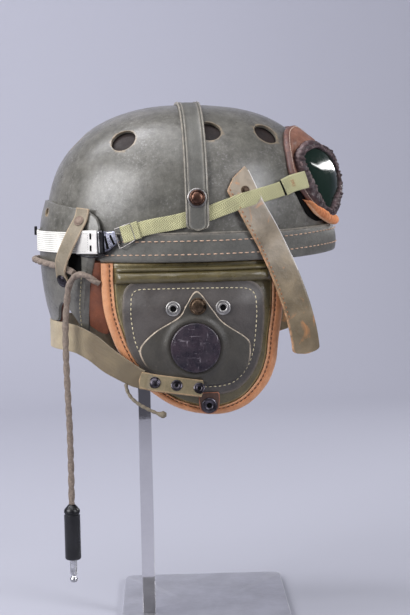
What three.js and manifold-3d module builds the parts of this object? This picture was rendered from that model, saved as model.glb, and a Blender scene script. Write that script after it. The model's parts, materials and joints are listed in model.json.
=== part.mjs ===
// Tanker helmet with goggles on a display stand.
// Millimetres, +X to the helmet's front, +Y to the wearer's left, +Z up. The origin is on the floor, under the
// crown's centre. A helmet piece is placed by its bearing round the crown (degrees from the front, the same on
// both sides) and by its rise: a share of the crown's height, counted up or down from the brow line.
import * as THREE from 'three';
import { mergeVertices } from 'three/addons/utils/BufferGeometryUtils.js';
import Module from 'manifold-3d';

const wasm = await Module();
wasm.setup();

// Crown
const crownLength = 282;
const crownWidth = 214;
const crownHeight = 125;
const browHeight = 391;
const crownSquareness = 2.45;
const crownWall = 3;
const skirtDrop = 22;
const ventDiameter = 25;
const ventRise = 0.76;
const liningWall = 2;
const crownSides = 32;
const crownRows = 7;

// Clearance between neighbours
const gap = 0.3;
const layerGap = 1.35;

// Leather and webbing
const bandHeight = 28;
const bandWall = 3;
const bandLap = 2;
const bandSeat = 0.45;
const browRoll = 8;
const crownStrapWidth = 22;
const crownStrapWall = 2.4;
const crownStrapRise = 2.4;
const crownStrapSnapRise = 0.288;
const sideStrapWidth = 23;
const sideStrapWall = 2.6;
const sideStrapHang = 112;
const webbingWidth = 14;
const webbingWall = 1.8;
const elasticWidth = 20;
const elasticWall = 1.8;

// Neck guard
const guardTop = 34;
const guardStand = 8;
const guardWall = 3;
const guardDepth = 134;
const guardVent = 8;
const guardLiningWall = 1.8;
const guardLiningSlack = 1.1;
const guardStrapWidth = 15;
const guardStrapWall = 2;
const napeHeight = 27;
const napeWall = 2;
const napeDrop = 99;
const napeTabLength = 60;

// Ear flaps
const flapWidth = 174;
const flapDrop = 146;
const flapCentre = -4;
const flapTuck = 10;
const flapSag = 13;
const flapEdge = 6;
const flapBelly = 13;
const bindingWidth = 9;
const bindingDepth = 8.5;
const rollHeight = 16;
const rollDepth = 4;
const pocketWall = 1.6;
const coverWall = 1.4;
const receiverDiameter = 47;
const receiverHeight = 4;
const snapDiameter = 15;
const snapHeight = 2.5;
const eyeletDiameter = 14;
const eyeletBore = 5;

// Goggles
const buckleWall = 1.6;
const lensWidth = 63;
const lensHeight = 61;
const lensFacing = 21.23;
const lensLean = 12;
const lensBulge = 6;
const lensWall = 2.5;
const lensBearing = 15.43;
const lensStand = 8.80;
const lensRise = 51;
const rimWidth = 6;
const rimDepth = 6;
const cupWall = 2.5;
const liningRoll = 9;
const bridgeHeight = 22;

// Stand
const plateLength = 175;
const plateWidth = 310;
const plateWall = 5;
const plateCorner = 6;
const plateForward = 17;
const plateTurn = -3.4;
const postSize = 13;
const postBack = 49;
const padLength = 74;
const padWidth = 56;
const padWall = 9;
const padSeat = 1.3;
const armWall = 10;

// Headset lead
const leadDiameter = 6.4;
const plugDiameter = 15.5;
const plugLength = 54;
const tipDiameter = 8;
const tipLength = 20;
const laceDiameter = 3;
const flapRearAlong = -0.6454;

const rightSide = -1;
const leftSide = 1;
const SIDES = [['right', rightSide], ['left', leftSide]];

const LOOKS = {
  fibre: { color: 0x68655f, roughness: 0.55, metalness: 0 },
  liningLeather: { color: 0x7a4a2a, roughness: 0.8, metalness: 0 },
  oliveLeather: { color: 0x5a5548, roughness: 0.5, metalness: 0 },
  greyLeather: { color: 0x58544f, roughness: 0.5, metalness: 0 },
  tanLeather: { color: 0xc98a5a, roughness: 0.5, metalness: 0 },
  khakiLeather: { color: 0x8f8065, roughness: 0.7, metalness: 0 },
  gogglesLeather: { color: 0x5c3f33, roughness: 0.6, metalness: 0 },
  chamois: { color: 0xe08a55, roughness: 0.9, metalness: 0 },
  webbing: { color: 0xb9b878, roughness: 0.9, metalness: 0 },
  elastic: { color: 0xf4f0e4, roughness: 0.9, metalness: 0 },
  cord: { color: 0x8a7c6c, roughness: 0.9, metalness: 0 },
  brass: { color: 0x6b4a3a, roughness: 0.4, metalness: 0.8 },
  steel: { color: 0x8c8a92, roughness: 0.3, metalness: 0.9 },
  blackPlastic: { color: 0x232329, roughness: 0.35, metalness: 0 },
  glass: { color: 0x1f3a2c, roughness: 0.1, metalness: 0 },
};

const helmet = new THREE.Group();

function add(name, geometry, look) {
  const mesh = new THREE.Mesh(geometry, new THREE.MeshStandardMaterial(LOOKS[look]));
  mesh.name = name;
  helmet.add(mesh);
  return mesh;
}

function point(x, y, z) {
  return new THREE.Vector3(x, y, z);
}

function mix(a, b, share) {
  return a + (b - a) * share;
}

// Solids

// Faces that point inwards are turned round, so that a mirrored piece needs no code of its own.
function geometryOf(points, faces) {
  let volume = 0;
  for (const [a, b, c] of faces) {
    volume += points[a].dot(new THREE.Vector3().crossVectors(points[b], points[c]));
  }
  const turned = volume < 0 ? faces.map(([a, b, c]) => [a, c, b]) : faces;
  const geometry = new THREE.BufferGeometry();
  const places = points.flatMap((p) => [p.x, p.y, p.z]);
  geometry.setAttribute('position', new THREE.Float32BufferAttribute(places, 3));
  geometry.setIndex(turned.flat());
  geometry.computeVertexNormals();
  return geometry;
}

// One body through rings of points. Its ends are closed by a ladder across the ring, or by one point each.
function loft(rings, { first = null, last = null, loop = false } = {}) {
  const count = rings[0].length;
  const points = rings.flat();
  const faces = [];
  const steps = loop ? rings.length : rings.length - 1;
  for (let i = 0; i < steps; i += 1) {
    const here = i * count;
    const next = ((i + 1) % rings.length) * count;
    for (let j = 0; j < count; j += 1) {
      const k = (j + 1) % count;
      faces.push([here + j, next + j, next + k]);
      faces.push([here + j, next + k, here + k]);
    }
  }
  if (!loop) {
    closeEnd(points, faces, 0, count, first, false);
    closeEnd(points, faces, (rings.length - 1) * count, count, last, true);
  }
  return geometryOf(points, faces);
}

function closeEnd(points, faces, start, count, tip, isLast) {
  const turn = (face) => faces.push(isLast ? [face[0], face[2], face[1]] : face);
  if (tip) {
    points.push(tip);
    for (let j = 0; j < count; j += 1) {
      turn([points.length - 1, start + j, start + ((j + 1) % count)]);
    }
    return;
  }
  for (let j = 0; j < count / 2 - 1; j += 1) {
    const a = start + j;
    const b = start + j + 1;
    const c = start + count - 2 - j;
    const d = start + count - 1 - j;
    turn([a, b, c]);
    turn([a, c, d]);
  }
}

function manifoldOf(geometry) {
  const bare = geometry.clone();
  bare.deleteAttribute('normal');
  bare.deleteAttribute('uv');
  const merged = mergeVertices(bare, 1e-4);
  const vertProperties = new Float32Array(merged.attributes.position.array);
  const triVerts = new Uint32Array(merged.index.array);
  return new wasm.Manifold(new wasm.Mesh({ numProp: 3, vertProperties, triVerts }));
}

function geometryFrom(solid) {
  const mesh = solid.getMesh();
  const geometry = new THREE.BufferGeometry();
  geometry.setAttribute('position', new THREE.Float32BufferAttribute(mesh.vertProperties, 3));
  geometry.setIndex(new THREE.Uint32BufferAttribute(mesh.triVerts, 1));
  geometry.computeVertexNormals();
  return geometry;
}

function drilled(geometry, cutters) {
  let solid = manifoldOf(geometry);
  for (const cutter of cutters) {
    solid = solid.subtract(manifoldOf(cutter));
  }
  return geometryFrom(solid);
}

// A turned piece stands on `foot` with its axis along `along`.
function turned(profile, foot, along, sides) {
  const geometry = new THREE.LatheGeometry(profile.map(([r, h]) => new THREE.Vector2(r, h)), sides);
  const turn = new THREE.Quaternion().setFromUnitVectors(point(0, 1, 0), along);
  geometry.applyQuaternion(turn);
  geometry.translate(foot.x, foot.y, foot.z);
  geometry.deleteAttribute('normal');
  geometry.deleteAttribute('uv');
  const merged = mergeVertices(geometry, 1e-4);
  return geometryOf(listPoints(merged), listFaces(merged));
}

function listPoints(geometry) {
  const position = geometry.attributes.position;
  return Array.from({ length: position.count }, (_, i) => new THREE.Vector3().fromBufferAttribute(position, i));
}

function listFaces(geometry) {
  const index = geometry.index.array;
  const faces = [];
  for (let i = 0; i < index.length; i += 3) {
    if (index[i] !== index[i + 1] && index[i + 1] !== index[i + 2] && index[i] !== index[i + 2]) {
      faces.push([index[i], index[i + 1], index[i + 2]]);
    }
  }
  return faces;
}

function domedButton(foot, along, diameter, height, sides = 8) {
  const radius = diameter / 2;
  const profile = [[0, 0], [radius, 0], [radius, height * 0.45], [radius * 0.62, height], [0, height]];
  return turned(profile, foot, along, sides);
}

function ringButton(foot, along, diameter, bore, height, sides = 8) {
  const radius = diameter / 2;
  const inner = bore / 2;
  const crest = (radius + inner) / 2;
  const profile = [[inner, 0], [radius, 0], [crest, height], [inner, height * 0.7], [inner, 0]];
  return turned(profile, foot, along, sides);
}

// Places on the crown

function onCrown(bearing, rise, offset = 0, side = leftSide) {
  const angle = THREE.MathUtils.degToRad(bearing);
  const height = rise * crownHeight;
  const up = Math.min(1, Math.max(0, height) / (crownHeight + offset));
  const shrink = (1 - up ** crownSquareness) ** (1 / crownSquareness);
  const across = Math.cos(angle) / (crownLength / 2 + offset);
  const along = Math.sin(angle) / (crownWidth / 2 + offset);
  const reach = shrink / Math.hypot(across, along);
  return point(reach * Math.cos(angle), side * reach * Math.sin(angle), browHeight + height);
}

// Moves a point in or out until it lies at the offset from the crown.
function settle(place, offset) {
  const x = place.x / (crownLength / 2 + offset);
  const y = place.y / (crownWidth / 2 + offset);
  const up = (place.z - browHeight) / (crownHeight + offset);
  const around = Math.hypot(x, y);
  if (up <= 0) {
    return point(place.x / around, place.y / around, place.z);
  }
  const size = (around ** crownSquareness + up ** crownSquareness) ** (1 / crownSquareness);
  return point(place.x / size, place.y / size, browHeight + (place.z - browHeight) / size);
}

function crownNormal(place) {
  const a = crownLength / 2;
  const b = crownWidth / 2;
  const up = Math.max(0, place.z - browHeight) / crownHeight;
  const around = Math.hypot(place.x / a, place.y / b);
  const pull = around ** (crownSquareness - 2);
  const lift = up ** (crownSquareness - 1) / crownHeight;
  return point((pull * place.x) / (a * a), (pull * place.y) / (b * b), lift).normalize();
}

function smoothRows(rows, keys, steps) {
  const tables = keys.map((key) => rows.map((row) => row[key]));
  return Array.from({ length: steps + 1 }, (_, s) => {
    const at = (s / steps) * (rows.length - 1);
    const i = Math.min(rows.length - 2, Math.floor(at));
    const t = at - i;
    const row = {};
    keys.forEach((key, k) => {
      const values = tables[k];
      const before = values[Math.max(0, i - 1)];
      const after = values[Math.min(rows.length - 1, i + 2)];
      row[key] = cubic(before, values[i], values[i + 1], after, t);
    });
    return row;
  });
}

function cubic(p0, p1, p2, p3, t) {
  const a = 2 * p1;
  const b = p2 - p0;
  const c = 2 * p0 - 5 * p1 + 4 * p2 - p3;
  const d = 3 * p1 - p0 - 3 * p2 + p3;
  return 0.5 * (a + b * t + c * t * t + d * t * t * t);
}

// A strap that lies on the crown. Each row has a bearing, a rise, and a stand: its height off the crown.
function crownStrap(rows, { width, wall, side = leftSide, steps = 16, across = 2 }) {
  const full = rows.map((row) => ({ stand: gap, broad: 1, ...row }));
  const stations = smoothRows(full, ['bearing', 'rise', 'stand', 'broad'], steps);
  const middles = stations.map((s) => onCrown(s.bearing, s.rise, s.stand, side));
  const rings = middles.map((middle, i) => {
    const before = middles[Math.max(0, i - 1)];
    const after = middles[Math.min(middles.length - 1, i + 1)];
    const along = after.clone().sub(before).normalize();
    const out = new THREE.Vector3().crossVectors(crownNormal(middle), along).normalize();
    const outer = [];
    const inner = [];
    for (let k = 0; k <= across; k += 1) {
      const reach = (k / across - 0.5) * width * stations[i].broad;
      const place = middle.clone().addScaledVector(out, reach);
      outer.push(settle(place, stations[i].stand + wall));
      inner.push(settle(place, stations[i].stand));
    }
    return [...outer, ...inner.reverse()];
  });
  return loft(rings);
}

// Outlines: closed curves in a flat frame, as shares of a width and a height

function outlineOf(rows, width, height, count) {
  const corners = rows.map((row) => point(row.across * width, row.up * height, 0));
  const curve = new THREE.CatmullRomCurve3(corners, true, 'centripetal');
  return curve.getSpacedPoints(count).slice(0, count);
}

function centreOf(outline) {
  const middle = point(0, 0, 0);
  outline.forEach((p) => middle.add(p));
  return middle.divideScalar(outline.length);
}

function insetOf(outline, distance) {
  const centre = centreOf(outline);
  return outline.map((p, i) => {
    const before = outline[(i + outline.length - 1) % outline.length];
    const after = outline[(i + 1) % outline.length];
    const along = after.clone().sub(before).normalize();
    const inward = point(-along.y, along.x, 0);
    if (inward.dot(centre.clone().sub(p)) < 0) {
      inward.negate();
    }
    return p.clone().addScaledVector(inward, distance);
  });
}

// The share of the way from the centre to the outline at which a place lies.
function shareIn(outline, centre, x, y) {
  const angle = Math.atan2(y - centre.y, x - centre.x);
  const far = Math.hypot(x - centre.x, y - centre.y);
  for (let i = 0; i < outline.length; i += 1) {
    const a = outline[i].clone().sub(centre);
    const b = outline[(i + 1) % outline.length].clone().sub(centre);
    const span = a.x * b.y - a.y * b.x;
    const toA = a.x * Math.sin(angle) - a.y * Math.cos(angle);
    const toB = Math.cos(angle) * b.y - Math.sin(angle) * b.x;
    const slack = -1e-9;
    if (toA * span >= slack && toB * span >= slack && toA + toB !== 0) {
      return far / (span / (toA + toB));
    }
  }
  return 0;
}

// A padded or flat piece within an outline, with its front and back at the depths that the functions give.
function pad(outline, centre, shares, front, back, place, backShares = shares) {
  const layer = (share, depthAt) => outline.map((p) => {
    const x = mix(centre.x, p.x, share);
    const y = mix(centre.y, p.y, share);
    return place(x, y, depthAt(x, y, share));
  });
  const fronts = shares.map((share) => layer(share, front));
  const backs = [...backShares].reverse().map((share) => layer(share, back));
  const first = place(centre.x, centre.y, front(centre.x, centre.y, 0));
  const last = place(centre.x, centre.y, back(centre.x, centre.y, 0));
  return loft([...fronts, ...backs], { first, last });
}

// Crown

function crownShellGeometry(outside, inside, bottom, around, steps) {
  const rows = [];
  for (let i = 1; i <= steps; i += 1) {
    rows.push(Math.cos((i / steps) * Math.PI / 2) ** (2 / crownSquareness));
  }
  const layer = (offset, rise) => Array.from({ length: around }, (_, j) => (
    onCrown((360 * j) / around, Math.abs(rise) < 1e-6 ? 0 : rise, offset)));
  const full = (offset) => (crownHeight + offset) / crownHeight;
  const outer = rows.map((share) => layer(outside, share * full(outside)));
  const inner = rows.map((share) => layer(inside, share * full(inside)));
  if (bottom < 0) {
    outer.push(layer(outside, bottom));
    inner.push(layer(inside, bottom));
  }
  const first = point(0, 0, browHeight + crownHeight + outside);
  const last = point(0, 0, browHeight + crownHeight + inside);
  return loft([...outer, ...inner.reverse()], { first, last });
}

const rimRise = -skirtDrop / crownHeight;
const VENTS = [
  { bearing: 0, rise: ventRise },
  { bearing: 39, rise: ventRise },
  { bearing: 79, rise: ventRise * 1.04 },
  { bearing: 135, rise: ventRise * 0.96 },
  { bearing: 180, rise: ventRise * 0.96 },
];

function ventCutters() {
  const cutters = [];
  for (const vent of VENTS) {
    const sides = vent.bearing % 180 === 0 ? [leftSide] : [leftSide, rightSide];
    for (const side of sides) {
      const middle = onCrown(vent.bearing, vent.rise, 0, side);
      const out = crownNormal(middle);
      const depth = crownWall * 4;
      const foot = middle.clone().addScaledVector(out, -depth / 2);
      const radius = ventDiameter / 2;
      cutters.push(turned([[0, 0], [radius, 0], [radius, depth], [0, depth]], foot, out, 12));
    }
  }
  return cutters;
}

function makeCrown() {
  const shell = crownShellGeometry(0, -crownWall, rimRise, crownSides, crownRows);
  add('crown_shell', drilled(shell, ventCutters()), 'fibre');
  const outside = -crownWall - gap;
  const lining = crownShellGeometry(outside, outside - liningWall, rimRise, crownSides / 2, crownRows);
  add('crown_lining', lining, 'liningLeather');
}

// Leather band round the front and the sides, thickened to a roll over the brow
const BAND = [
  { bearing: -137, lap: 1, thick: 0 },
  { bearing: -120, lap: 1, thick: 0 },
  { bearing: -95, lap: 1, thick: 0 },
  { bearing: -70, lap: 1, thick: 0 },
  { bearing: -45, lap: 0.9, thick: 0.1 },
  { bearing: -30, lap: 0.1, thick: 0.4 },
  { bearing: -15, lap: -0.25, thick: 0.8 },
  { bearing: 0, lap: -0.4, thick: 1 },
  { bearing: 15, lap: -0.25, thick: 0.8 },
  { bearing: 30, lap: 0.1, thick: 0.4 },
  { bearing: 45, lap: 0.9, thick: 0.1 },
  { bearing: 70, lap: 1, thick: 0 },
  { bearing: 95, lap: 1, thick: 0 },
  { bearing: 120, lap: 1, thick: 0 },
  { bearing: 137, lap: 1, thick: 0 },
];
const BAND_PROFILE = [
  { up: 0, out: 0.3 },
  { up: 0.3, out: 1 },
  { up: 0.68, out: 0.8 },
  { up: 1, out: 0.05 },
];

function bandOuter(thick) {
  return bandWall + thick * (browRoll - bandWall);
}

function makeBand() {
  const stations = smoothRows(BAND, ['bearing', 'lap', 'thick'], 32);
  const rings = stations.map((s) => {
    const side = s.bearing < 0 ? rightSide : leftSide;
    const outer = [];
    const inner = [];
    for (const row of BAND_PROFILE) {
      const rise = rimRise + (row.up * bandHeight - s.lap * bandLap) / crownHeight;
      const belly = mix(bandWall, bandOuter(s.thick), row.out);
      outer.push(onCrown(Math.abs(s.bearing), rise, bandSeat + belly, side));
      inner.push(onCrown(Math.abs(s.bearing), rise, bandSeat, side));
    }
    return [...outer, ...inner.reverse()];
  });
  add('brim_band', loft(rings), 'greyLeather');
}

// Neck guard: its levels from the top edge down, and its lower edge round the back
const GUARD_LEVELS = [
  { down: 0, stand: 0.42 },
  { down: 0.12, stand: 0.73 },
  { down: 0.25, stand: 0.97 },
  { down: 0.4, stand: 1 },
  { down: 0.58, stand: 0.78 },
  { down: 0.76, stand: 0.36 },
  { down: 0.9, stand: -0.2 },
  { down: 1, stand: -0.6 },
];
const GUARD_EDGE = [
  { bearing: 139.5, top: 0.14, bottom: 1, lean: 1 },
  { bearing: 141.5, top: 0.07, bottom: 0.985, lean: 0.85 },
  { bearing: 146, top: 0.06, bottom: 0.93, lean: 0.5 },
  { bearing: 152, top: 0.045, bottom: 0.83, lean: 0.15 },
  { bearing: 157.5, top: 0.03, bottom: 0.73, lean: 0 },
  { bearing: 161, top: 0.025, bottom: 0.78, lean: 0 },
  { bearing: 165, top: 0.015, bottom: 0.9, lean: 0 },
  { bearing: 172, top: 0, bottom: 0.94, lean: 0 },
  { bearing: 180, top: 0, bottom: 0.95, lean: 0 },
];
// The guard's front edge runs forward at its top and back at its foot: degrees from the edge's own bearing.
const GUARD_LEAN = [
  { down: 0, turn: -4 },
  { down: 0.2, turn: -3.6 },
  { down: 0.39, turn: 0 },
  { down: 0.6, turn: 2.2 },
  { down: 0.8, turn: 5 },
  { down: 1, turn: 6.5 },
];

function levelAt(table, key, down) {
  const last = table.length - 1;
  let i = 0;
  while (i < last - 1 && table[i + 1].down < down) {
    i += 1;
  }
  const a = table[i];
  const b = table[i + 1];
  return mix(a[key], b[key], (down - a.down) / (b.down - a.down));
}

function guardStandAt(down) {
  return guardStand * levelAt(GUARD_LEVELS, 'stand', down);
}

function onGuard(bearing, down, offset, side = leftSide) {
  const rise = (guardTop - down * guardDepth) / crownHeight;
  return onCrown(bearing, rise, guardStandAt(down) + offset, side);
}

function bothSides(rows) {
  const right = rows.map((row) => ({ ...row, side: rightSide }));
  const left = rows.slice(0, -1).reverse().map((row) => ({ ...row, side: leftSide }));
  return [...right, ...left];
}

function guardWallGeometry(rows, outside, inside, upper, levels) {
  const full = rows.map((row) => ({ lean: 0, tuck: 0, ...row }));
  const rings = bothSides(full).map((row) => {
    const outer = [];
    const inner = [];
    for (let k = 0; k <= levels; k += 1) {
      const down = mix(Math.max(row.top, upper), row.bottom, k / levels);
      const bearing = row.bearing + row.lean * levelAt(GUARD_LEAN, 'turn', down);
      outer.push(onGuard(bearing, down, outside - row.tuck * guardStand, row.side));
      inner.push(onGuard(bearing, down, inside - row.tuck * guardStand, row.side));
    }
    return [...outer, ...inner.reverse()];
  });
  return loft(rings);
}

const LINING_EDGE = [
  { bearing: 135, top: 0, bottom: 0.62, tuck: 0.85 },
  { bearing: 137, top: 0, bottom: 0.84, tuck: 0.55 },
  { bearing: 139.5, top: 0, bottom: 0.95, tuck: 0.15 },
  { bearing: 146, top: 0, bottom: 0.9 },
  { bearing: 152, top: 0, bottom: 0.8 },
  { bearing: 157.5, top: 0, bottom: 0.7 },
  { bearing: 162, top: 0, bottom: 0.76 },
  { bearing: 168, top: 0, bottom: 0.88 },
  { bearing: 180, top: 0, bottom: 0.9 },
];

function makeNeckGuard() {
  const fine = smoothRows(GUARD_EDGE, ['bearing', 'top', 'bottom', 'lean'], 11);
  const wall = guardWallGeometry(fine, 0, -guardWall, 0, 5);
  const cutters = SIDES.map(([, side]) => {
    const middle = onGuard(169, 0.08, 0, side);
    const out = crownNormal(middle);
    const depth = guardWall * 4;
    const radius = guardVent / 2;
    const foot = middle.clone().addScaledVector(out, -depth / 2);
    return turned([[0, 0], [radius, 0], [radius, depth], [0, depth]], foot, out, 10);
  });
  add('neck_guard', drilled(wall, cutters), 'fibre');
  const outside = -guardWall - guardLiningSlack;
  const rimDown = (guardTop + skirtDrop + 2) / guardDepth;
  const lining = guardWallGeometry(LINING_EDGE, outside, outside - guardLiningWall, rimDown, 3);
  add('guard_lining', lining, 'liningLeather');
}

// Strap over the crown, raised where the goggles' webbing runs under it
const CROWN_STRAP = [
  { rise: 0.04, lift: 1 },
  { rise: 0.2, lift: 1 },
  { rise: 0.36, lift: 0 },
  { rise: 0.62, lift: 0 },
  { rise: 0.84, lift: 0 },
  { rise: 0.955, lift: 0 },
];
const CROWN_STRAP_TOP = [0.66, 0.33, 0, -0.33, -0.66];

function makeCrownStrap() {
  const middleBearing = 90;
  const low = gap * 2;
  const lifted = crownStrapRise + gap;
  const stations = smoothRows(CROWN_STRAP, ['rise', 'lift'], 9);
  const flank = (side) => stations.map((s) => {
    const stand = mix(low, lifted, s.lift);
    return strapRing(onCrown(middleBearing, s.rise, stand, side), stand);
  });
  const edge = onCrown(middleBearing, stations[stations.length - 1].rise, low, rightSide);
  const top = CROWN_STRAP_TOP.map((share) => (
    strapRing(settle(point(0, edge.y * share, edge.z), low), low)));
  add('crown_strap', loft([...flank(rightSide), ...top, ...flank(leftSide).reverse()]), 'greyLeather');
  const seat = lifted + crownStrapWall + gap;
  for (const [word, side] of SIDES) {
    const foot = onCrown(middleBearing, crownStrapSnapRise, seat, side);
    add(`crown_strap_snap_${word}`,
      domedButton(foot, crownNormal(foot), snapDiameter, snapHeight), 'brass');
  }
}

function strapRing(middle, stand) {
  const outer = [];
  const inner = [];
  for (const k of [-0.5, 0, 0.5]) {
    const place = middle.clone();
    place.x += k * crownStrapWidth;
    outer.push(settle(place, stand + crownStrapWall));
    inner.push(settle(place, stand));
  }
  return [...outer, ...inner.reverse()];
}

// Side strap: sewn to the crown at its tab, then hanging free in front of the ear flap
const SIDE_STRAP = [
  { bearing: 69.5, rise: 0.475, broad: 0.42, stand: 0 },
  { bearing: 68.5, rise: 0.44, broad: 0.86, stand: 0 },
  { bearing: 67, rise: 0.36, broad: 1, stand: 0 },
  { bearing: 64.5, rise: 0.25, broad: 1.02, stand: 0 },
  { bearing: 62.3, rise: 0.16, broad: 1.04, stand: 0.5 },
  { bearing: 60, rise: 0.085, broad: 1.06, stand: 1.1 },
  { bearing: 57.5, rise: 0.01, broad: 1.08, stand: 1.15 },
];
const SIDE_STRAP_HANG = [
  { forward: 0.12, out: 0.012, down: 0.12 },
  { forward: 0.3, out: 0.03, down: 0.34 },
  { forward: 0.46, out: 0.035, down: 0.6 },
  { forward: 0.55, out: 0.03, down: 0.84 },
  { forward: 0.57, out: 0.02, down: 1 },
];

function makeSideStrap(word, side) {
  const lifted = bandWall + gap;
  const rows = SIDE_STRAP.map((row) => ({ ...row, stand: gap + row.stand * lifted }));
  const stations = smoothRows(rows, ['bearing', 'rise', 'stand', 'broad'], 9);
  const rings = [];
  const middles = stations.map((s) => onCrown(s.bearing, s.rise, s.stand, side));
  const start = middles[middles.length - 1];
  const lastRow = stations[stations.length - 1];
  const hang = SIDE_STRAP_HANG.map((row) => point(
    start.x + (row.forward * sideStrapHang) / 2,
    start.y + side * row.out * crownWidth,
    start.z - row.down * sideStrapHang,
  ));
  const path = [...middles, ...hang];
  path.forEach((middle, i) => {
    const before = path[Math.max(0, i - 1)];
    const after = path[Math.min(path.length - 1, i + 1)];
    const along = after.clone().sub(before).normalize();
    const broad = i < stations.length ? stations[i].broad : lastRow.broad;
    const level = crownNormal(middle);
    const out = new THREE.Vector3().crossVectors(level, along).normalize();
    const normal = new THREE.Vector3().crossVectors(along, out).normalize();
    const outer = [];
    const inner = [];
    for (const k of [-0.5, 0, 0.5]) {
      const place = middle.clone().addScaledVector(out, k * sideStrapWidth * broad);
      const lies = i < stations.length;
      const stand = lies ? stations[i].stand : 0;
      const low = lies ? settle(place, stand) : place;
      const high = lies ? settle(place, stand + sideStrapWall)
        : place.clone().addScaledVector(normal, sideStrapWall * Math.sign(normal.dot(level)));
      outer.push(high);
      inner.push(low);
    }
    rings.push([...outer, ...inner.reverse()]);
  });
  add(`side_strap_${word}`, loft(rings), 'oliveLeather');
}

// Ear flaps

const FLAP_OUTLINE = [
  { across: -0.5, up: 0.985 },
  { across: -0.5, up: 0.84 },
  { across: -0.489, up: 0.68 },
  { across: -0.454, up: 0.53 },
  { across: -0.414, up: 0.415 },
  { across: -0.33, up: 0.25 },
  { across: -0.22, up: 0.135 },
  { across: -0.11, up: 0.055 },
  { across: 0.02, up: 0.01 },
  { across: 0.16, up: 0.005 },
  { across: 0.29, up: 0.06 },
  { across: 0.395, up: 0.18 },
  { across: 0.447, up: 0.32 },
  { across: 0.466, up: 0.48 },
  { across: 0.49, up: 0.66 },
  { across: 0.498, up: 0.84 },
  { across: 0.498, up: 0.985 },
  { across: 0.25, up: 0.99 },
  { across: 0, up: 0.99 },
  { across: -0.25, up: 0.99 },
];
const POCKET_OUTLINE = [
  { across: -0.375, up: 0.835 },
  { across: -0.335, up: 0.862 },
  { across: 0, up: 0.866 },
  { across: 0.3, up: 0.85 },
  { across: 0.355, up: 0.82 },
  { across: 0.37, up: 0.66 },
  { across: 0.345, up: 0.4 },
  { across: 0.29, up: 0.26 },
  { across: 0.2, up: 0.165 },
  { across: 0.04, up: 0.15 },
  { across: -0.12, up: 0.19 },
  { across: -0.26, up: 0.3 },
  { across: -0.345, up: 0.43 },
  { across: -0.375, up: 0.62 },
];
const COVER_OUTLINE = [
  { across: 0.012, up: 0.815 },
  { across: -0.05, up: 0.73 },
  { across: -0.09, up: 0.655 },
  { across: -0.22, up: 0.56 },
  { across: -0.3, up: 0.46 },
  { across: -0.295, up: 0.38 },
  { across: -0.24, up: 0.3 },
  { across: -0.1, up: 0.23 },
  { across: 0.08, up: 0.205 },
  { across: 0.22, up: 0.24 },
  { across: 0.285, up: 0.33 },
  { across: 0.3, up: 0.43 },
  { across: 0.28, up: 0.5 },
  { across: 0.15, up: 0.61 },
  { across: 0.09, up: 0.7 },
];
const TAB_OUTLINE = [
  { across: 0.01, up: 0.152 },
  { across: 0.012, up: 0.06 },
  { across: 0.045, up: 0.018 },
  { across: 0.09, up: 0.02 },
  { across: 0.118, up: 0.06 },
  { across: 0.118, up: 0.152 },
  { across: 0.065, up: 0.155 },
];

const flapTop = browHeight - skirtDrop - bandLap - gap;
const flapInner = crownWidth / 2 - flapTuck;
const flapOutline = outlineOf(FLAP_OUTLINE, flapWidth, flapDrop, 36);
flapOutline.forEach((p) => {
  p.y = Math.min(p.y, flapDrop - gap);
});
const flapBody = drawnIn(flapOutline, bindingWidth + gap);
const flapMiddle = centreOf(flapBody);

// The flap's outline drawn in at its sides and its lower edge, with its top left where it is.
function drawnIn(outline, distance) {
  return outline.map((p) => point(
    p.x * (1 - (2 * distance) / flapWidth),
    distance + p.y * (1 - distance / flapDrop),
    0,
  ));
}

function flapPlace(side) {
  return (x, y, depth) => {
    const bend = flapSag * ((2 * x) / flapWidth) ** 2;
    return point(flapCentre + x, side * (flapInner - bend + depth), flapTop - flapDrop + y);
  };
}

function flapFront(x, y) {
  const share = shareIn(flapBody, flapMiddle, x, y);
  const belly = (flapBelly - flapEdge) * Math.max(0, 1 - share ** 3);
  const hinge = THREE.MathUtils.smoothstep(flapDrop - y, rollHeight * 1.2, rollHeight * 2.7);
  return flapEdge + belly * hinge;
}

function layerOnFlap(wall, under) {
  return {
    front: (x, y) => flapFront(x, y) + under + wall,
    back: (x, y) => flapFront(x, y) + under,
  };
}

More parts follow.
